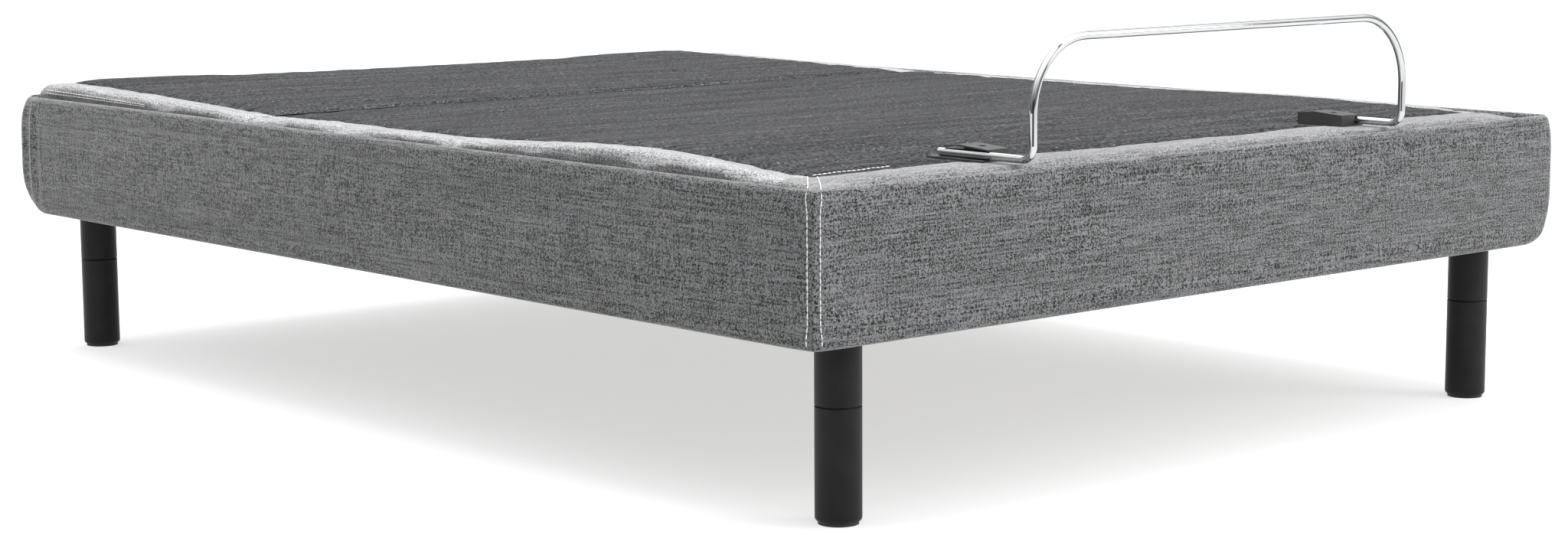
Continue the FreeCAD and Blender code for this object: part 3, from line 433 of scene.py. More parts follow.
class Wardrobe:
    """Every finish of the bed base, made once."""

    def __init__(self) -> None:
        """Build the materials."""
        # The skirt's sides and ends are one grey cloth in two copies: the ends' copy is lighter
        # (painted light) and the sides' copy darker (painted shade).
        self.shaded_skirt_side = ClothFinish("grey_cloth_side_shaded", (0.006, 0.0061, 0.0064),
                                      (0.196, 0.198, 0.202), Grain.ALONG).material()
        self.lit_skirt_end = ClothFinish("grey_cloth_end_lit", (0.007, 0.0071, 0.0074),
                                     (0.232, 0.234, 0.239), Grain.ACROSS).material()
        # Both border finishes are lighter copies of the grey cloth, with painted top light; the
        # side border's copy is lighter than the foot border's.
        self.lit_side_border = ClothFinish("grey_cloth_border_side_lit", (0.100, 0.101, 0.103),
                                       (0.470, 0.472, 0.479), Grain.ALONG).material()
        self.foot_border = ClothFinish("grey_cloth_border_foot_lit", (0.045, 0.0454, 0.0464),
                                       (0.305, 0.307, 0.312), Grain.ACROSS).material()
        self.deck = ClothFinish("charcoal_cloth", (0.004, 0.0042, 0.005), (0.090, 0.091, 0.095),
                                Grain.ACROSS, lint=0.7, mottle=0.40, fineness=210.0,
                                slubs=0.05, sheen=0.05, gloss=0.08).material()
        # Near-black cloth: painted shade in the fold over the head hinge, and the hem's dark line.
        self.dark_band = ClothFinish("black_fold_shade_and_hem_line", grey(0.0008), grey(0.004), Grain.ACROSS,
                                  slubs=0.0, sheen=0.0, gloss=0.05).material()
        self.thread = ClothFinish("white_thread", (0.70, 0.70, 0.69), (0.95, 0.95, 0.94),
                                  Grain.ALONG, sheen=0.05).material()
        self.by_slot = {
            "frame_finish": CoatFinish("black_powder_coat", grey(0.016), 0.48).material(),
            "leg_finish": CoatFinish("satin_black_leg", grey(0.006), 0.45, 500.0, 0.05,
                                     0.2).material(),
            "glide_plastic": CoatFinish("glide_plastic", grey(0.02), 0.6).material(),
            "bumper_rubber": CoatFinish("bumper_rubber", grey(0.018), 0.8).material(),
            "black_plastic": CoatFinish("black_plastic", grey(0.022), 0.5, 1400.0, 0.3).material(),
            "clip_steel": CoatFinish("black_clip_steel", grey(0.042), 0.42, 700.0, 0.05,
                                     0.4).material(),
            "zinc_steel": MetalFinish("zinc_steel", (0.62, 0.62, 0.63), 0.3).material(),
            "bar_chrome": MetalFinish("polished_chrome", (0.60, 0.605, 0.615), 0.06).material(),
            "rod_chrome": MetalFinish("ground_rod", (0.78, 0.79, 0.8), 0.14,
                                      (1.0, 0.2, 1.0)).material(),
            "actuator_tube": MetalFinish("drawn_aluminium", (0.62, 0.63, 0.65), 0.32,
                                         (1.0, 0.05, 1.0), 0.08).material(),
            "deck_board": BoardFinish("deck_board", (0.14, 0.12, 0.095),
                                      (0.38, 0.34, 0.285)).material(),
        }

    def dress(self, frame: dict) -> None:
        """Give each carried-over part its finish by its slot."""
        slots = {s["node"]: s["material_slot"] for s in frame["record"]["subparts"]}
        for node, piece in frame["nodes"].items():
            finish = self.by_slot.get(slots.get(node))
            if finish is not None:
                piece.data.materials.clear()
                piece.data.materials.append(finish)


# ---- soft goods --------------------------------------------------------------------------------


@dataclass
class Stuffing:
    """How a stitched form is blown up by cloth simulation.

    Attributes:
        voxel: size of the remeshed faces, in metres.
        pressure: push of the filling.
        spare: share by which the cloth is cut larger than its form.
        cap: how far any point may move.
        frames: length of the simulation.
    """

    voxel: float = 0.0125
    pressure: float = 3.0
    spare: float = 0.012
    cap: float = 0.005
    frames: int = 16

    def remesh(self, piece: bpy.types.Object) -> None:
        """Give a closed form even square faces."""
        modifier = piece.modifiers.new("Even", "REMESH")
        modifier.mode = "VOXEL"
        modifier.voxel_size = self.voxel
        apply_modifiers(piece)

    def inflate(self, piece: bpy.types.Object, held: list[int]) -> None:
        """Blow a form up, with some of its points held, and keep the result.

        Args:
            piece: the closed form.
            held: indices of the points that stay, as where a seam pulls the cloth down.
        """
        start = [vertex.co.copy() for vertex in piece.data.vertices]
        piece.vertex_groups.new(name="held").add(held, 1.0, "REPLACE")
        cloth = piece.modifiers.new("Filling", "CLOTH")
        settings = cloth.settings
        settings.quality = 4
        settings.mass = 0.25
        settings.tension_stiffness = 12.0
        settings.compression_stiffness = 12.0
        settings.bending_stiffness = 0.3
        settings.vertex_group_mass = "held"
        settings.use_pressure = True
        settings.uniform_pressure_force = self.pressure
        settings.shrink_min = -self.spare
        settings.effector_weights.gravity = 0.0
        cloth.point_cache.frame_end = self.frames
        scene = bpy.context.scene
        for step in range(1, self.frames + 1):
            scene.frame_set(step)
        apply_modifiers(piece)
        scene.frame_set(1)
        for vertex, before in zip(piece.data.vertices, start):
            move = vertex.co - before
            if move.length > self.cap:
                vertex.co = before + move.normalized() * self.cap


def apply_modifiers(piece: bpy.types.Object) -> None:
    """Make a piece's modifiers part of its mesh."""
    evaluated = piece.evaluated_get(bpy.context.evaluated_depsgraph_get())
    mesh = bpy.data.meshes.new_from_object(evaluated)
    old = piece.data
    piece.modifiers.clear()
    piece.vertex_groups.clear()
    piece.data = mesh
    mesh.name = piece.name
    bpy.data.meshes.remove(old)
    mesh.polygons.foreach_set("use_smooth", [True] * len(mesh.polygons))


def close_cuts(bm: bmesh.types.BMesh) -> None:
    """Close the flat openings that a cut left, with crisp rims."""
    rims = [edge for edge in bm.edges if edge.is_boundary]
    for edge in rims:
        edge.smooth = False
    made = bmesh.ops.holes_fill(bm, edges=rims, sides=0)
    for face in made["faces"]:
        face.smooth = False


@dataclass
class DeckCover:
    """The padded deck: charcoal cloth with a grey border on three sides, in three covers.

    One form is stuffed as a whole, then cut where the covers part: at the head hinge, where
    two bevelled ends fold together, and under the mattress in the middle of the thigh section.

    Attributes:
        border: width of the grey border along the sides.
        foot_border: its width across the foot.
        edge: rounding of its upper edge.
        corner: rounding of its corners, seen from above.
        head_rise: rise at the head end, at the left and at the right side.
        bow: rise of the foot section's middle, at the left and at the right side.
        bow_place: distance of that rise from the foot end.
        bow_reach: half the length of that rise.
        hem: distance of the hem across the head section from the head end.
        hem_line: half the width of that hem's dark line.
        thigh_crease: depth of the fold over the thigh hinge.
        knee_crease: depth of the fold over the knee hinge.
        seam: depth of the border's seam.
        seam_reach: half the width of that seam.
        stitch_reach: half the width of the hem and the slanted seams.
        dart_foot: where the slanted seams beside the head hinge start from it.
        dart_slope: how far they slant for each metre inwards.
        dark_band: width of the near-black band painted as shade in the fold over the head hinge.
        bevel: rise of the folded ends over the head hinge for each metre back from it.
        fold_start: where that rise starts: its distance back, and height over the hinge.
        fold_share: share of the thickness above which the ends fold back.
        gap: half the space between the folded ends.
        far_slope: how far the right side's border falls towards its edge.
        clip_gap: how far the cloth stays under a retainer clip.
        clip_reach: how far the pressed-down cloth spans inwards and outwards of a clip's end.
        clip_slope: how steeply the cloth comes up again beside a clip.
        turn: half the length of cloth that bends over a hinge; not used.
        stuffing: how it is blown up.
    """

    border: float = 0.066
    foot_border: float = 0.078
    edge: float = 0.007
    corner: float = 0.018
    head_rise: tuple[float, float] = (0.018, 0.007)
    bow: tuple[float, float] = (0.0135, 0.004)
    bow_place: float = 0.40
    bow_reach: float = 0.38
    hem: float = 0.160
    hem_line: float = 0.0012
    thigh_crease: float = 0.0012
    knee_crease: float = 0.0008
    seam: float = 0.0014
    seam_reach: float = 0.0045
    stitch_reach: float = 0.003
    dart_foot: float = 0.045
    dart_slope: float = 0.55
    dark_band: float = 0.011
    bevel: float = 1.6
    fold_start: tuple[float, float] = (0.0005, 0.0002)
    fold_share: float = 0.4
    gap: float = 0.0007
    far_slope: float = 0.006
    clip_gap: float = 0.0004
    clip_reach: tuple[float, float] = (0.055, 0.004)
    clip_slope: float = 0.12
    turn: float = 0.034
    stuffing: Stuffing = field(default_factory=Stuffing)

    def __post_init__(self) -> None:
        """Read the deck's outline and hinge lines from the frame."""
        foot_low, foot_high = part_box("foot_pad")
        head_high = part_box("head_pad")[1]
        self.side, self.foot, self.head = foot_high.x, foot_low.y, head_high.y
        self.bottom, self.top = foot_low.z + 0.0003, foot_high.z
        places = {j["name"]: j["pos_m"] for j in FRAME["joints"] if j["type"] == "hinge"}
        self.head_line, self.hinge_z = places["head_lift"][1:]
        self.thigh_line = places["thigh_lift"][1]
        self.knee_line = places["knee_fold"][1]
        self.parting = (self.knee_line + self.thigh_line) / 2
        clip_low, clip_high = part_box("retainer_clips")
        self.clip_top = clip_low.z - self.clip_gap
        self.clip_x = (clip_high.x - self.clip_reach[0], clip_high.x + self.clip_reach[1])
        self.clip_y = clip_high.y

    def rise(self, x: float, y: float) -> float:
        """How far the cover stands above or below its flat top at a place."""
        near = (self.side - x) / (2 * self.side)
        head = self.head_rise[1] + (self.head_rise[0] - self.head_rise[1]) * near
        bow = self.bow[1] + (self.bow[0] - self.bow[1]) * near
        up = head * max(0.0, (y - self.head_line) / (self.head - self.head_line))
        up += bow * hump(self.foot + self.bow_place, self.bow_reach, y)
        up -= self.thigh_crease * hump(self.thigh_line, 0.013, y)
        up -= self.knee_crease * hump(self.knee_line, 0.010, y)
        up -= 0.0025 * hump(self.foot, 0.05, y)
        up -= self.far_slope * smooth(self.side - self.border - 0.01, self.side, x)
        return up

    def wrinkles(self, x: float, y: float) -> float:
        """Fine folds of slack cloth: across the bed, gathered at hinges and the border."""
        wave = noise.noise(Vector((x * 1.6, y * 17.0, 3.0)))
        ripple = noise.noise(Vector((x * 4.0, y * 42.0, 8.0)))
        near_hinge = max(hump(self.thigh_line - 0.03, 0.13, y), 0.6 * hump(self.knee_line, 0.1, y))
        out = 0.0009 * wave + 0.0004 * ripple + near_hinge * 0.0011 * ripple
        clip = Vector((abs(x) - self.clip_x[0], y - self.clip_y)).length
        out += 0.0045 * hump(0.0, 0.20, clip) * noise.noise(Vector((x * 9.0, y * 24.0, 2.0)))
        inner = self.side - self.border
        gather = hump(inner, 0.07, abs(x)) * hump(self.head_line + 0.03, 0.16, y)
        slant = noise.noise(Vector(((abs(x) * 9.0 + y * 22.0), y * 3.0, 5.0)))
        return out + gather * 0.0013 * slant

    def held_points(self, piece: bpy.types.Object) -> list[int]:
        """Points that seams and staples hold: the underside, hinge folds and border seam."""
        inner = self.side - self.border
        foot_seam = self.foot + self.foot_border
        reach = self.stuffing.voxel * 0.6
        held = []
        for vertex in piece.data.vertices:
            place = vertex.co
            low = place.z < self.bottom + 0.004
            sewn = abs(place.y - foot_seam) < reach
            parted = abs(place.y - self.head_line) < reach * 2
            if low or sewn or parted or abs(abs(place.x) - inner) < reach:
                held.append(vertex.index)
        return held

    def form(self) -> bpy.types.Object:
        """The whole deck as one stuffed form."""
        bm = block(Vector((-self.side, self.foot, self.bottom)),
                   Vector((self.side, self.head, self.top)))
        uprights = [e for e in bm.edges if abs(e.verts[0].co.z - e.verts[1].co.z) > 1e-4]
        bmesh.ops.bevel(bm, geom=uprights, offset=self.corner, segments=4, profile=0.5,
                        affect="EDGES", material=-1)
        rim = [e for e in bm.edges if all(v.co.z > self.top - 1e-4 for v in e.verts)]
        bmesh.ops.bevel(bm, geom=rim, offset=self.edge, segments=3, profile=0.5,
                        affect="EDGES", material=-1)
        bmesh.ops.triangulate(bm, faces=bm.faces)
        piece = mesh_object("deck_form", bm)
        self.stuffing.remesh(piece)
        self.stuffing.inflate(piece, self.held_points(piece))
        refine = piece.modifiers.new("Refine", "SUBSURF")
        refine.levels = refine.render_levels = 1
        apply_modifiers(piece)
        return piece

    def settle(self, bm: bmesh.types.BMesh) -> None:
        """Lay the top along the deck's rise, with its seams and folds, under the clips."""
        inner = self.side - self.border
        foot_seam = self.foot + self.foot_border
        thickness = self.top - self.bottom
        for vertex in bm.verts:
            x, y, z = vertex.co
            share = min(1.0, max(0.0, (z - self.bottom) / thickness))
            sewn = hump(inner, self.seam_reach, abs(x)) if y > foot_seam - 0.002 else 0.0
            across = abs(x) < inner + 0.002
            sewn = max(sewn, hump(foot_seam, self.seam_reach, y) if across else 0.0)
            sewn = max(sewn, hump(self.head - self.hem, self.stitch_reach, y))
            sewn = max(sewn, self.dart(x, y))
            lift = self.rise(x, y) + self.wrinkles(x, y) - self.seam * sewn
            z += share * lift
            if self.side - abs(x) < 0.005:
                vertex.co.x = math.copysign(abs(x) - self.tuck(y, share), x)
            away = max(self.clip_x[0] - abs(x), abs(x) - self.clip_x[1], y - self.clip_y, 0.0)
            limit = self.clip_top + self.clip_slope * away
            if share > self.fold_share:
                z = min(z, limit)
                back = abs(y - self.head_line)
                z = min(z, self.hinge_z + self.fold_start[1]
                        + (back - self.fold_start[0]) * self.bevel)
            vertex.co.z = z

    def dart(self, x: float, y: float) -> float:
        """How much of a slanted border seam beside the head hinge is at a place."""
        if abs(x) < self.side - self.border:
            return 0.0
        slant = (self.side - abs(x)) * self.dart_slope
        reach = self.stitch_reach
        towards_head = hump(self.head_line + self.dart_foot + slant, reach, y)
        return max(towards_head, hump(self.head_line - self.dart_foot - slant, reach, y))

    def tuck(self, y: float, share: float) -> float:
        """How far the border's outer face is tucked in: most at its foot, in three pleats."""
        raised = hump(self.foot + self.bow_place, self.bow_reach * 0.9, y)
        raised = max(raised, smooth(self.head_line, self.head_line + 0.25, y))
        pleats = 0.5 - 0.5 * math.cos(share * 3.0 * 2.0 * math.pi)
        return raised * (0.0065 * (1.0 - share) + 0.0026 * pleats * smooth(1.0, 0.75, share))

    def part(self, form: bpy.types.Object, name: str, low: float, high: float,
             finishes: list[bpy.types.Material]) -> bpy.types.Object:
        """Cut one cover out of the deck's form.

        Args:
            form: the whole deck.
            name: the cover's name.
            low: its foot-side end.
            high: its head-side end.
            finishes: charcoal cloth, the side border's (painted top light), near-black cloth
                (painted shade in the fold, and the hem's dark line), the foot border's (less
                painted top light).

        Returns:
            The cover, closed at both cuts.
        """
        bm = bmesh.new()
        bm.from_mesh(form.data)
        along = Vector((0.0, 1.0, 0.0))
        for place, side in ((low, -1.0), (high, 1.0)):
            bmesh.ops.bisect_plane(bm, geom=[*bm.verts, *bm.edges, *bm.faces], dist=1e-7,
                                   plane_co=along * place, plane_no=along * side,
                                   clear_outer=True)
        close_cuts(bm)
        inner = self.side - self.border
        foot_seam = self.foot + self.foot_border
        for face in bm.faces:
            centre = face.calc_center_median()
            # The side border takes the lighter copy of the grey cloth and the foot border the
            # darker one, both with painted top light.
            grey_side = abs(centre.x) > inner or centre.y < foot_seam
            face.material_index = 1 if grey_side else 0
            if centre.y > self.head - 0.012 and abs(centre.x) < inner:
                face.material_index = 0
            # Painted shade: the faces in the fold over the head hinge take the near-black cloth,
            # and so does the hem's dark line.
            in_fold = abs(centre.y - self.head_line - self.dark_band / 4) < self.dark_band / 2
            in_hem = abs(centre.y - (self.head - self.hem)) < self.hem_line
            if abs(centre.x) < inner and (in_fold or in_hem):
                face.material_index = 2
            if centre.y < foot_seam and abs(centre.x) < self.side - 0.004:
                face.material_index = 3
        mesh = bpy.data.meshes.new(name)
        bm.to_mesh(mesh)
        bm.free()
        for finish in finishes:
            mesh.materials.append(finish)
        piece = bpy.data.objects.new(name, mesh)
        bpy.context.scene.collection.objects.link(piece)
        return piece

    def refine_seams(self, bm: bmesh.types.BMesh) -> None:
        """Cut edge loops where seams, folds and pleats need them."""
        sides = self.side - self.border
        cut_across(bm, Vector((1.0, 0.0, 0.0)), [-sides, -sides + 0.003, sides - 0.003, sides])
        steps = [self.head_line + side * d for side in (-1.0, 1.0)
                 for d in (self.gap, 0.003, 0.006, 0.010)]
        seams = [self.foot + self.foot_border, self.foot + self.foot_border - 0.003]
        hem = self.head - self.hem
        hems = [hem - self.stitch_reach, hem - self.hem_line,
                hem + self.hem_line, hem + self.stitch_reach]
        cut_across(bm, Vector((0.0, 1.0, 0.0)), steps + seams + hems)
        cut_across(bm, Vector((0.0, 0.0, 1.0)),
                   evenly(self.bottom + 0.002, self.top - 0.004, 0.0016))
        for across in (-1.0, 1.0):
            for along in (-1.0, 1.0):
                axis = Vector((across * self.dart_slope, along, 0.0)).normalized()
                start = Vector((across * self.side, self.head_line + along * self.dart_foot, 0.0))
                middle = start.dot(axis)
                cut_across(bm, axis, [middle + d for d in (-0.003, -0.001, 0.001, 0.003)])

    def build(self, wardrobe: Wardrobe) -> dict[str, bpy.types.Object]:
        """Make the three covers, and tie the head cover to the head section.

        Args:
            wardrobe: the finishes.

        Returns:
            The covers by place.
        """
        form = self.form()
        bm = bmesh.new()
        bm.from_mesh(form.data)
        self.refine_seams(bm)
        self.settle(bm)
        bm.to_mesh(form.data)
        bm.free()
        finishes = [wardrobe.deck, wardrobe.lit_side_border, wardrobe.dark_band, wardrobe.foot_border]
        head = self.part(form, "deck_cover_head", self.head_line + self.gap, self.head + 1.0,
                         finishes)
        seat = self.part(form, "deck_cover_seat", self.parting, self.head_line - self.gap,
                         finishes)
        foot = self.part(form, "deck_cover_foot", self.foot - 1.0, self.parting, finishes)
        bpy.data.objects.remove(form)
        for piece in (head, seat, foot):
            LOG.info("%s: %d faces", piece.name, len(piece.data.polygons))
        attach(head, "head_section")
        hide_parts("head_pad")
        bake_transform(seat)
        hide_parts("seat_pad", "thigh_pad")
        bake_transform(foot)
        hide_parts("foot_pad")
        return {"head": head, "seat": seat, "foot": foot}


@dataclass
class Skirt:
    """Upholstered panels round the frame: two long sides that wrap the head corners, two ends.

    Attributes:
        inset: how far the cloth lies inside the outer size before it swells.
        swell: how far the cloth swells between its edges.
        edge: rounding of the upper and lower edges.
        head_corner: radius of the corner at the head end.
        wrap: how far the side cloth runs on past the head corner.
        head_lift: how far the lower edge is drawn up round the head corners.
        curl: how far the cloth turns in below and above at the head corners.
        fat: how far it swells there in between.
        foot_lift: how far it is drawn up at the left and right foot corners.
        far_corner: rounding of the right foot corner, seen from above.
        groove: how far the cloth dips into the seam at a foot corner.
        crease_run: how far upright folds reach from a wrapped corner.
        soft_run: half the length that is full and turned in at a head corner.
        lift_run: half the length that is drawn up, at a head corner and a foot corner.
        step: length of its faces before refining.
    """

    inset: float = 0.0022
    swell: float = 0.0030
    edge: float = 0.0075
    head_corner: float = 0.043
    wrap: float = 0.030
    head_lift: float = 0.019
    curl: tuple[float, float] = (0.013, 0.009)
    fat: float = 0.005
    foot_lift: tuple[float, float] = (0.001, 0.024)
    far_corner: float = 0.020
    groove: float = 0.0016
    crease_run: float = 0.10
    soft_run: float = 0.085
    lift_run: tuple[float, float] = (0.070, 0.045)
    step: float = 0.022

    def __post_init__(self) -> None:
        """Read the skirt's outline from the frame."""
        low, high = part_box("skirt_left")
        self.side, self.foot = -low.x - self.inset, low.y + self.inset
        self.head = high.y - self.inset
        self.bottom, self.top = low.z, high.z
        self.thickness = high.x - low.x - 2 * self.inset
        self.turn_y = self.head - self.head_corner
        self.turn_x = self.side - self.head_corner

    def slab(self, low: Vector, high: Vector, along: Vector) -> bmesh.types.BMesh:
        """A block with rounded long edges, cut into short faces.

        Args:
            low: its lowest corner.
            high: its highest corner.
            along: unit vector of its length.

        Returns:
            The block.
        """
        bm = block(low, high)
        long_edges = [e for e in bm.edges
                      if abs((e.verts[1].co - e.verts[0].co).normalized().dot(along)) > 0.99]
        bmesh.ops.bevel(bm, geom=long_edges, offset=self.edge, segments=3, profile=0.5,
                        affect="EDGES", material=-1)
        ends = (low.dot(along), high.dot(along))
        tight = [ends[0] + 0.002, ends[0] + 0.006, ends[1] - 0.006, ends[1] - 0.002]
        cut_across(bm, along, evenly(ends[0] + 0.006, ends[1] - 0.006, self.step) + tight)
        cut_across(bm, Vector((0.0, 0.0, 1.0)),
                   evenly(low.z + self.edge, high.z - self.edge, self.step))
        return bm

    def fullness(self, z: float) -> float:
        """How full the cloth is at a height: 0 at its edges, 1 in between."""
        middle = (self.bottom + self.top) / 2
        return max(0.0, 1.0 - (abs(z - middle) / ((self.top - self.bottom) / 2)) ** 4)

    def turned_in(self, z: float) -> float:
        """How far soft corners turn in at a height, below and above."""
        low = max(0.0, 1.0 - (z - self.bottom) / 0.050)
        high = max(0.0, 1.0 - (self.top - z) / 0.040)
        return self.curl[0] * low * low + self.curl[1] * high * high

    def creases(self, place: float, z: float, near_corner: float) -> float:
        """Relief of the cloth: slow waves, and upright folds near a wrapped corner."""
        slow = noise.noise(Vector((place * 5.0, z * 7.0, 1.0)))
        folds = noise.noise(Vector((place * 70.0, z * 3.0, 6.0)))
        return 0.0009 * slow + near_corner * 0.0060 * folds

    def finish_panel(self, name: str, bm: bmesh.types.BMesh, cloth: bpy.types.Material,
                     node: str) -> bpy.types.Object:
        """Refine a panel, dress it, and let it stand for its plain part."""
        piece = mesh_object(name, bm)
        refine = piece.modifiers.new("Refine", "SUBSURF")
        refine.levels = refine.render_levels = 1
        apply_modifiers(piece)
        piece.data.materials.append(cloth)
        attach(piece, "frame")
        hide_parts(node)
        LOG.info("%s: %d faces", name, len(piece.data.polygons))
        return piece

    def round_corner(self, out: float, run: float, face: float, end: float) -> tuple[float, float]:
        """Bend a point of a panel's outer face round the right foot corner, up to its middle.

        Args:
            out: the point's distance from the middle plane, square to the panel.
            run: its distance along the panel from the corner.
            face: the panel's own face, measured as out is.
            end: the corner's place along the panel.

        Returns:
            The new out, and the new place along the panel.
        """
        turn = (1.0 - run / self.far_corner) * math.pi / 4
        reach = out - (face - self.far_corner)
        return (face - self.far_corner + reach * math.cos(turn),
                end + self.far_corner - reach * math.sin(turn))

    def side_panel(self, sign: int, cloth: bpy.types.Material) -> bpy.types.Object:
        """A long side, mitred at the foot corner and wrapped round the head corner.

        Args:
            sign: -1 for the left side, +1 for the right side.
            cloth: its finish.

        Returns:
            The panel.
        """
        arc = math.pi / 2 * self.head_corner
        end = self.turn_y + arc + self.wrap
        bm = self.slab(Vector((self.side - self.thickness, self.foot, self.bottom)),
                       Vector((self.side, end, self.top)), Vector((0.0, 1.0, 0.0)))
        wrapped = evenly(self.turn_y - self.crease_run, end - 0.01, 0.009)
        rounded = evenly(self.foot + 0.006, self.foot + self.far_corner + 0.004, 0.004)
        cut_across(bm, Vector((0.0, 1.0, 0.0)), wrapped + rounded)
        foot_lift = self.foot_lift[0] if sign < 0 else self.foot_lift[1]
        for vertex in bm.verts:
            x, y, z = vertex.co
            depth = self.side - x
            corner = smooth(self.turn_y - self.crease_run, self.turn_y, y)
            foot_edge = smooth(self.foot, self.foot + 0.05, y) if sign < 0 else 1.0
            if depth < self.thickness * 0.5:
                out = self.swell * self.fullness(z) * foot_edge
                x += out + self.creases(y * sign, z, corner) * self.fullness(z) * foot_edge
                x -= self.groove * hump(self.foot, 0.005, y) if sign < 0 else 0.0
                soft = hump(self.turn_y + arc / 2, self.soft_run, y)
                x += soft * (self.fat * self.fullness(z) - self.turned_in(z))
                if sign > 0:
                    x -= 0.5 * hump(self.foot, 0.04, y) * self.turned_in(z)
            lift = self.head_lift * hump(self.turn_y + arc / 2, self.lift_run[0], y)
            lift += foot_lift * hump(self.foot, self.lift_run[1], y)
            z = self.top - (self.top - z) * (1.0 - lift / (self.top - self.bottom))
            if sign > 0 and depth < self.thickness * 0.5 and y < self.foot + self.far_corner:
                x, y = self.round_corner(x, y - self.foot, self.side, self.foot)
            elif y < self.foot + self.thickness:
                y = max(y, self.foot + depth)
            if y > self.turn_y:
                turn = min((y - self.turn_y) / self.head_corner, math.pi / 2)
                run = max(0.0, y - self.turn_y - arc)
                reach = x - self.turn_x
                x = self.turn_x + reach * math.cos(turn) - run
                y = self.turn_y + reach * math.sin(turn)
            vertex.co = (sign * x, y, z)
        name = "skirt_cover_left" if sign < 0 else "skirt_cover_right"
        node = "skirt_left" if sign < 0 else "skirt_right"
        return self.finish_panel(name, bm, cloth, node)

    def end_panel(self, sign: int, cloth: bpy.types.Material) -> bpy.types.Object:
        """A panel across an end: mitred between the sides at the foot, butted at the head."""
        at_foot = sign < 0
        reach = self.side if at_foot else self.turn_x - self.wrap - 0.001
        outer = -self.foot if at_foot else self.head
        bm = self.slab(Vector((-reach, outer - self.thickness, self.bottom)),
                       Vector((reach, outer, self.top)), Vector((1.0, 0.0, 0.0)))
        if at_foot:
            cut_across(bm, Vector((1.0, 0.0, 0.0)),
                       evenly(reach - self.far_corner - 0.004, reach - 0.006, 0.004))
        for vertex in bm.verts:
            x, y, z = vertex.co
            depth = outer - y
            lift = 0.0
            if at_foot:
                lift = self.foot_lift[0] * hump(-reach, self.lift_run[1], x)
                lift += self.foot_lift[1] * hump(reach, self.lift_run[1], x)
            edge = smooth(0.0, 0.05, reach + x) if at_foot else 1.0
            if depth < self.thickness * 0.5:
                y += self.swell * self.fullness(z) * edge
                y += self.creases(x, z, 0.0) * self.fullness(z) * edge
                y -= self.groove * hump(-reach, 0.005, x) if at_foot else 0.0
                y -= 0.5 * hump(reach, 0.04, x) * self.turned_in(z) if at_foot else 0.0
            z = self.top - (self.top - z) * (1.0 - lift / (self.top - self.bottom))
            if at_foot and depth < self.thickness * 0.5 and x > reach - self.far_corner:
                y, along = self.round_corner(y, reach - x, outer, 0.0)
                x = reach - along
            elif at_foot:
                x = max(-self.side + depth, min(self.side - depth, x))
            vertex.co = (x, sign * y, z)
        name = "skirt_cover_foot" if at_foot else "skirt_cover_head"
        return self.finish_panel(name, bm, cloth, "skirt_foot" if at_foot else "skirt_head")

    def build(self, wardrobe: Wardrobe) -> dict[str, bpy.types.Object]:
        """Make the four panels, and return them by place."""
        return {"left": self.side_panel(-1, wardrobe.shaded_skirt_side),
                "right": self.side_panel(1, wardrobe.shaded_skirt_side),
                "foot": self.end_panel(-1, wardrobe.lit_skirt_end),
                "head": self.end_panel(1, wardrobe.lit_skirt_end)}


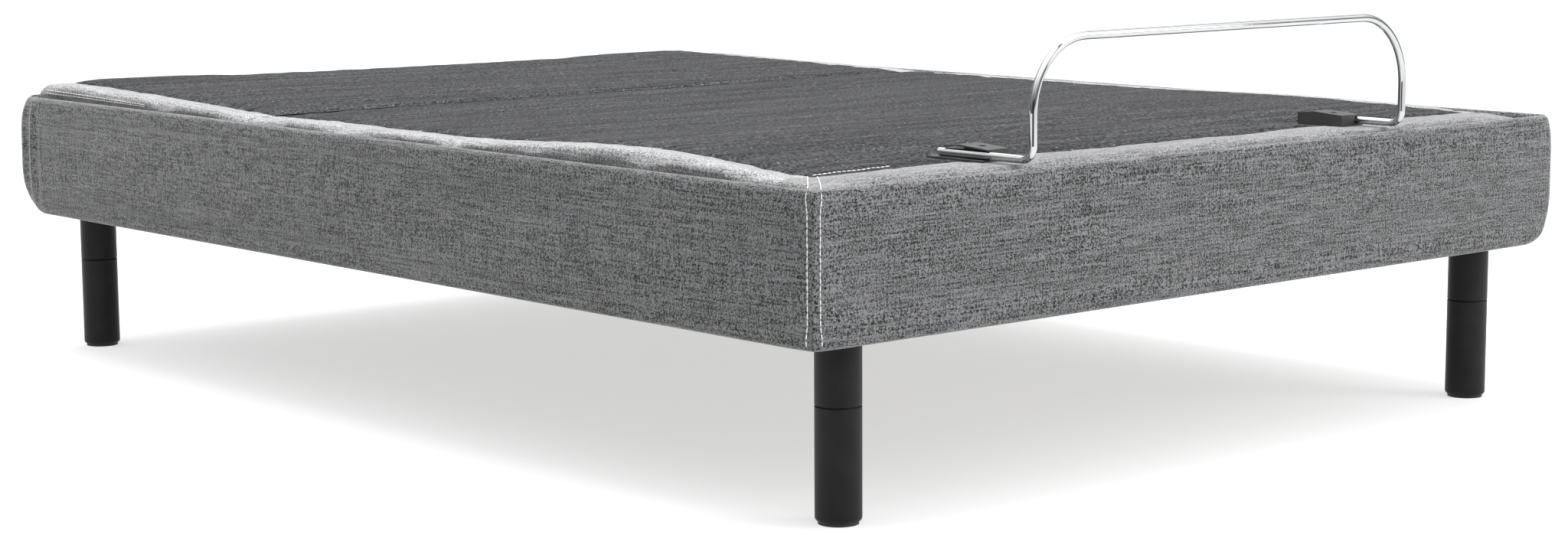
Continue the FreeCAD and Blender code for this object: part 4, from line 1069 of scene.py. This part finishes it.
@dataclass
class Topstitching:
    """White thread in close stitches beside the seams.

    Attributes:
        length: length of one stitch.
        pitch: distance from one stitch to the next.
        radius: half the thread's thickness.
        beside: distance from a seam.
        flare: how much further out a row runs at its ends.
        bend_share: share of a row's length over which its ends run out.
        probe: how far off a cover a row is looked for from, and how far that look reaches.
        mitre_gap: distance of the deck border's rows from its mitre.
        hem_row: the row beside the mitre: its offset inwards and headwards, and its run.
        head_row: where the head rows start and end, measured back from the head end.
    """

    length: float = 0.0088
    pitch: float = 0.0084
    radius: float = 0.0009
    beside: float = 0.0105
    flare: float = 0.0035
    bend_share: float = 0.16
    probe: tuple[float, float] = (0.05, 0.07)
    mitre_gap: float = 0.006
    hem_row: tuple[float, float, float] = (0.006, 0.007, 0.135)
    head_row: tuple[float, float] = (0.035, 0.36)

    def stitch(self, bm: bmesh.types.BMesh, start: Vector, end: Vector) -> None:
        """Add one stitch between two points."""
        run = end - start
        made = bmesh.ops.create_icosphere(bm, subdivisions=1, radius=1.0)["verts"]
        reach = run.length * self.length / self.pitch / 2
        bmesh.ops.scale(bm, vec=(self.radius, self.radius, reach), verts=made)
        turn = Vector((0.0, 0.0, 1.0)).rotation_difference(run.normalized()).to_matrix()
        bmesh.ops.rotate(bm, cent=(0.0, 0.0, 0.0), matrix=turn, verts=made)
        bmesh.ops.translate(bm, vec=(start + end) / 2, verts=made)

    def row(self, bm: bmesh.types.BMesh, start: Vector, end: Vector, outwards: Vector,
            cover: BVHTree, bend: Vector | None = None) -> None:
        """Add a row of stitches laid on a cover.

        Args:
            bm: where the stitches go.
            start: the row's start, near the cover.
            end: the row's end.
            outwards: unit vector that points away from the cover.
            cover: the surface that carries the row.
            bend: unit vector along which the row's ends run further out.
        """
        count = max(1, int((end - start).length / self.pitch))
        points = []
        for i in range(count + 1):
            share = i / count
            place = start.lerp(end, share)
            if bend is not None:
                ends = max(hump(0.0, self.bend_share, share), hump(1.0, self.bend_share, share))
                wander = 0.0006 * noise.noise(Vector((0.0, 0.0, place.z * 60.0)))
                place = place + bend * (self.flare * ends + wander)
            hit = cover.ray_cast(place + outwards * self.probe[0], -outwards, self.probe[1])[0]
            if hit is not None:
                points.append(hit + outwards * self.radius * 0.3)
        for first, second in zip(points, points[1:]):
            self.stitch(bm, first, second)

    def finish_rows(self, name: str, bm: bmesh.types.BMesh, body: str,
                    wardrobe: Wardrobe) -> None:
        """Dress rows of stitches and tie them to the body that carries their cover."""
        piece = mesh_object(name, bm)
        piece.data.materials.append(wardrobe.thread)
        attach(piece, body)
        LOG.info("%s: %d faces", name, len(piece.data.polygons))

    def corner(self, skirt: Skirt, panels: dict[str, bpy.types.Object],
               wardrobe: Wardrobe) -> None:
        """Stitch the left foot corner of the skirt, a row on each side of its seam."""
        bm = bmesh.new()
        low, high = skirt.bottom + 0.007, skirt.top - 0.003
        side_out, foot_out = Vector((-1.0, 0.0, 0.0)), Vector((0.0, -1.0, 0.0))
        y = skirt.foot + self.beside
        self.row(bm, Vector((-skirt.side, y, low)), Vector((-skirt.side, y, high)),
                 side_out, surface(panels["left"]), -foot_out)
        x = self.beside - skirt.side
        self.row(bm, Vector((x, skirt.foot, low)), Vector((x, skirt.foot, high)),
                 foot_out, surface(panels["foot"]), -side_out)
        self.finish_rows("corner_stitches", bm, "frame", wardrobe)

    def deck_rows(self, deck: DeckCover, covers: dict[str, bpy.types.Object],
                  wardrobe: Wardrobe) -> None:
        """Stitch the border's left mitre, the hem beside it, and the border at the head."""
        up = Vector((0.0, 0.0, 1.0))
        foot, head = surface(covers["foot"]), surface(covers["head"])
        bm = bmesh.new()
        inner = Vector((deck.border - deck.side, deck.foot + deck.foot_border, deck.top))
        outer = Vector((0.004 - deck.side, deck.foot + 0.004, deck.top))
        across = Vector((1.0, -1.0, 0.0)).normalized()
        for offset in (-self.mitre_gap, self.mitre_gap):
            self.row(bm, inner + across * offset, outer + across * offset * 1.4, up, foot)
        inwards, headwards, run = self.hem_row
        start = Vector((-deck.side + deck.border + inwards,
                        deck.foot + deck.foot_border + headwards, deck.top))
        self.row(bm, start, start + Vector((run, 0.003, 0.0)), up, foot)
        self.finish_rows("border_stitches_foot", bm, "foot_section", wardrobe)
        bm = bmesh.new()
        for height in (0.0030, 0.0085):
            start = Vector((-deck.side, deck.head - self.head_row[0], deck.top + height))
            end = Vector((-deck.side, deck.head - self.head_row[1],
                          deck.top + height * 0.5 - 0.002))
            self.row(bm, start, end, Vector((-1.0, 0.0, 0.0)), head)
        self.finish_rows("border_stitches_head", bm, "head_section", wardrobe)


# ---- studio ------------------------------------------------------------------------------------


@dataclass(frozen=True)
class SoftLight:
    """A large square lamp.

    Attributes:
        name: its name.
        place: where it hangs.
        size: its side.
        power: its watts.
    """

    name: str
    place: tuple[float, float, float]
    size: float
    power: float

    def hang(self, aim: Vector) -> None:
        """Put the lamp up, facing a point."""
        data = bpy.data.lights.new(self.name, "AREA")
        data.size = self.size
        data.energy = self.power
        lamp = bpy.data.objects.new(self.name, data)
        lamp.location = self.place
        lamp.rotation_euler = (aim - Vector(self.place)).to_track_quat("-Z", "Y").to_euler()
        bpy.context.scene.collection.objects.link(lamp)


@dataclass
class Studio:
    """Pale floor, soft light and the camera.

    Attributes:
        eye: the camera's place.
        heading: its turn from the head direction, in degrees.
        pitch: how far it looks down, in degrees.
        roll: its turn about its own axis, in degrees.
        lens: its focal length in millimetres.
        sky_strength: brightness overhead.
        screens: heading of each dark screen's flat side, in degrees, and its half-width.
        board: width, height and distance of the dark board that the chrome mirrors.
    """

    eye: tuple[float, float, float] = (-3.0906, -3.6100, 0.8228)
    heading: float = 41.34
    pitch: float = 8.0
    roll: float = -0.27
    lens: float = 67.9
    sky_strength: float = 2.6
    screens: tuple[tuple[float, float], ...] = ((20.0, 0.05), (100.0, 0.07))
    board: tuple[float, float, float] = (2.4, 1.1, 3.9)

    def build(self) -> None:
        """Set up floor, world, lamps and camera."""
        self.floor()
        self.sky()
        aim = Vector((0.0, 0.0, 0.3))
        SoftLight("key", (2.8, -4.6, 2.4), 2.5, 120.0).hang(aim)
        SoftLight("top", (0.0, 0.4, 4.8), 4.0, 260.0).hang(aim)
        self.dark_board()
        self.camera()
        bpy.context.scene.view_settings.view_transform = "Standard"

    def sky(self) -> None:
        """Light the room from above, dimmer low down, past upright dark screens."""
        tree = SkyTree("studio")
        direction = tree.add("TexCoord").outputs["Generated"]
        height = tree.add("SeparateXYZ", Vector=direction).outputs["Z"]
        light = tree.ramp(height, [(0.0, grey(0.07)), (0.3, grey(0.18)), (0.85, grey(1.0))])
        for heading, width in self.screens:
            side = (math.cos(math.radians(heading)), math.sin(math.radians(heading)), 0.0)
            across = tree.add("VectorMath", {"operation": "DOT_PRODUCT"})
            tree.join(direction, across.inputs[0])
            tree.join(side, across.inputs[1])
            off = tree.math("ABSOLUTE", across.outputs["Value"])
            screen = tree.ramp(off, [(width, grey(0.12)), (width + 0.04, grey(1.0))])
            light = tree.mix(1.0, light, screen, "MULTIPLY")
        tree.join(light, tree.background.inputs["Color"])
        tree.background.inputs["Strength"].default_value = self.sky_strength
        bpy.context.scene.world = tree.world

    def floor(self) -> None:
        """Lay a wide pale floor that glows a little, so that shadows stay soft."""
        bm = bmesh.new()
        bmesh.ops.create_grid(bm, x_segments=8, y_segments=8, size=30.0)
        piece = mesh_object("floor", bm)
        tree = NodeTree("floor_paint")
        cloud = tree.noise(tree.place((1.0, 1.0, 1.0)), 0.8, 2.0, 0.5)
        tint = tree.ramp(cloud, [(0.3, grey(0.36)), (0.7, grey(0.38))])
        tree.join(tint, tree.shader.inputs["Base Color"])
        tree.shader.inputs["Roughness"].default_value = 0.95
        tree.shader.inputs["Specular IOR Level"].default_value = 0.1
        tree.shader.inputs["Emission Color"].default_value = (1.0, 1.0, 1.0, 1.0)
        tree.shader.inputs["Emission Strength"].default_value = 0.6
        piece.data.materials.append(tree.material)

    def dark_board(self) -> None:
        """Stand a dark board before the bed that only shows as a line in polished metal."""
        width, height, distance = self.board
        bm = block(Vector((-width / 2, -0.02, 0.0)), Vector((width / 2, 0.02, height)))
        bmesh.ops.bevel(bm, geom=bm.edges, offset=0.01, segments=2, profile=0.5,
                        affect="EDGES", material=-1)
        turn = Matrix.Rotation(math.radians(-self.heading), 3, "Z")
        bmesh.ops.rotate(bm, cent=(0.0, 0.0, 0.0), matrix=turn, verts=bm.verts)
        back = turn @ Vector((0.0, -distance, 0.0))
        bmesh.ops.translate(bm, vec=back, verts=bm.verts)
        piece = mesh_object("dark_board", bm)
        piece.data.materials.append(CoatFinish("dark_board_paint", grey(0.01), 0.9).material())
        piece.visible_camera = piece.visible_diffuse = piece.visible_shadow = False

    def camera(self) -> None:
        """Put the camera where the view is taken from."""
        data = bpy.data.cameras.new("camera")
        data.lens = self.lens
        data.sensor_width = 36.0
        data.clip_end = 100.0
        turn = (Matrix.Rotation(math.radians(-self.heading), 3, "Z")
                @ Matrix.Rotation(math.radians(90.0 - self.pitch), 3, "X")
                @ Matrix.Rotation(math.radians(self.roll), 3, "Z"))
        piece = bpy.data.objects.new("camera", data)
        piece.location = self.eye
        piece.rotation_euler = turn.to_euler()
        bpy.context.scene.collection.objects.link(piece)
        bpy.context.scene.camera = piece


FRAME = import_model()


def main() -> None:
    """Build everything round the frame."""
    logging.basicConfig(level=logging.INFO, format="%(message)s")
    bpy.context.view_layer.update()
    Studio().build()
    wardrobe = Wardrobe()
    wardrobe.dress(FRAME)
    deck = DeckCover()
    covers = deck.build(wardrobe)
    skirt = Skirt()
    panels = skirt.build(wardrobe)
    thread = Topstitching()
    thread.corner(skirt, panels, wardrobe)
    thread.deck_rows(deck, covers, wardrobe)


if __name__ == "__main__":
    main()
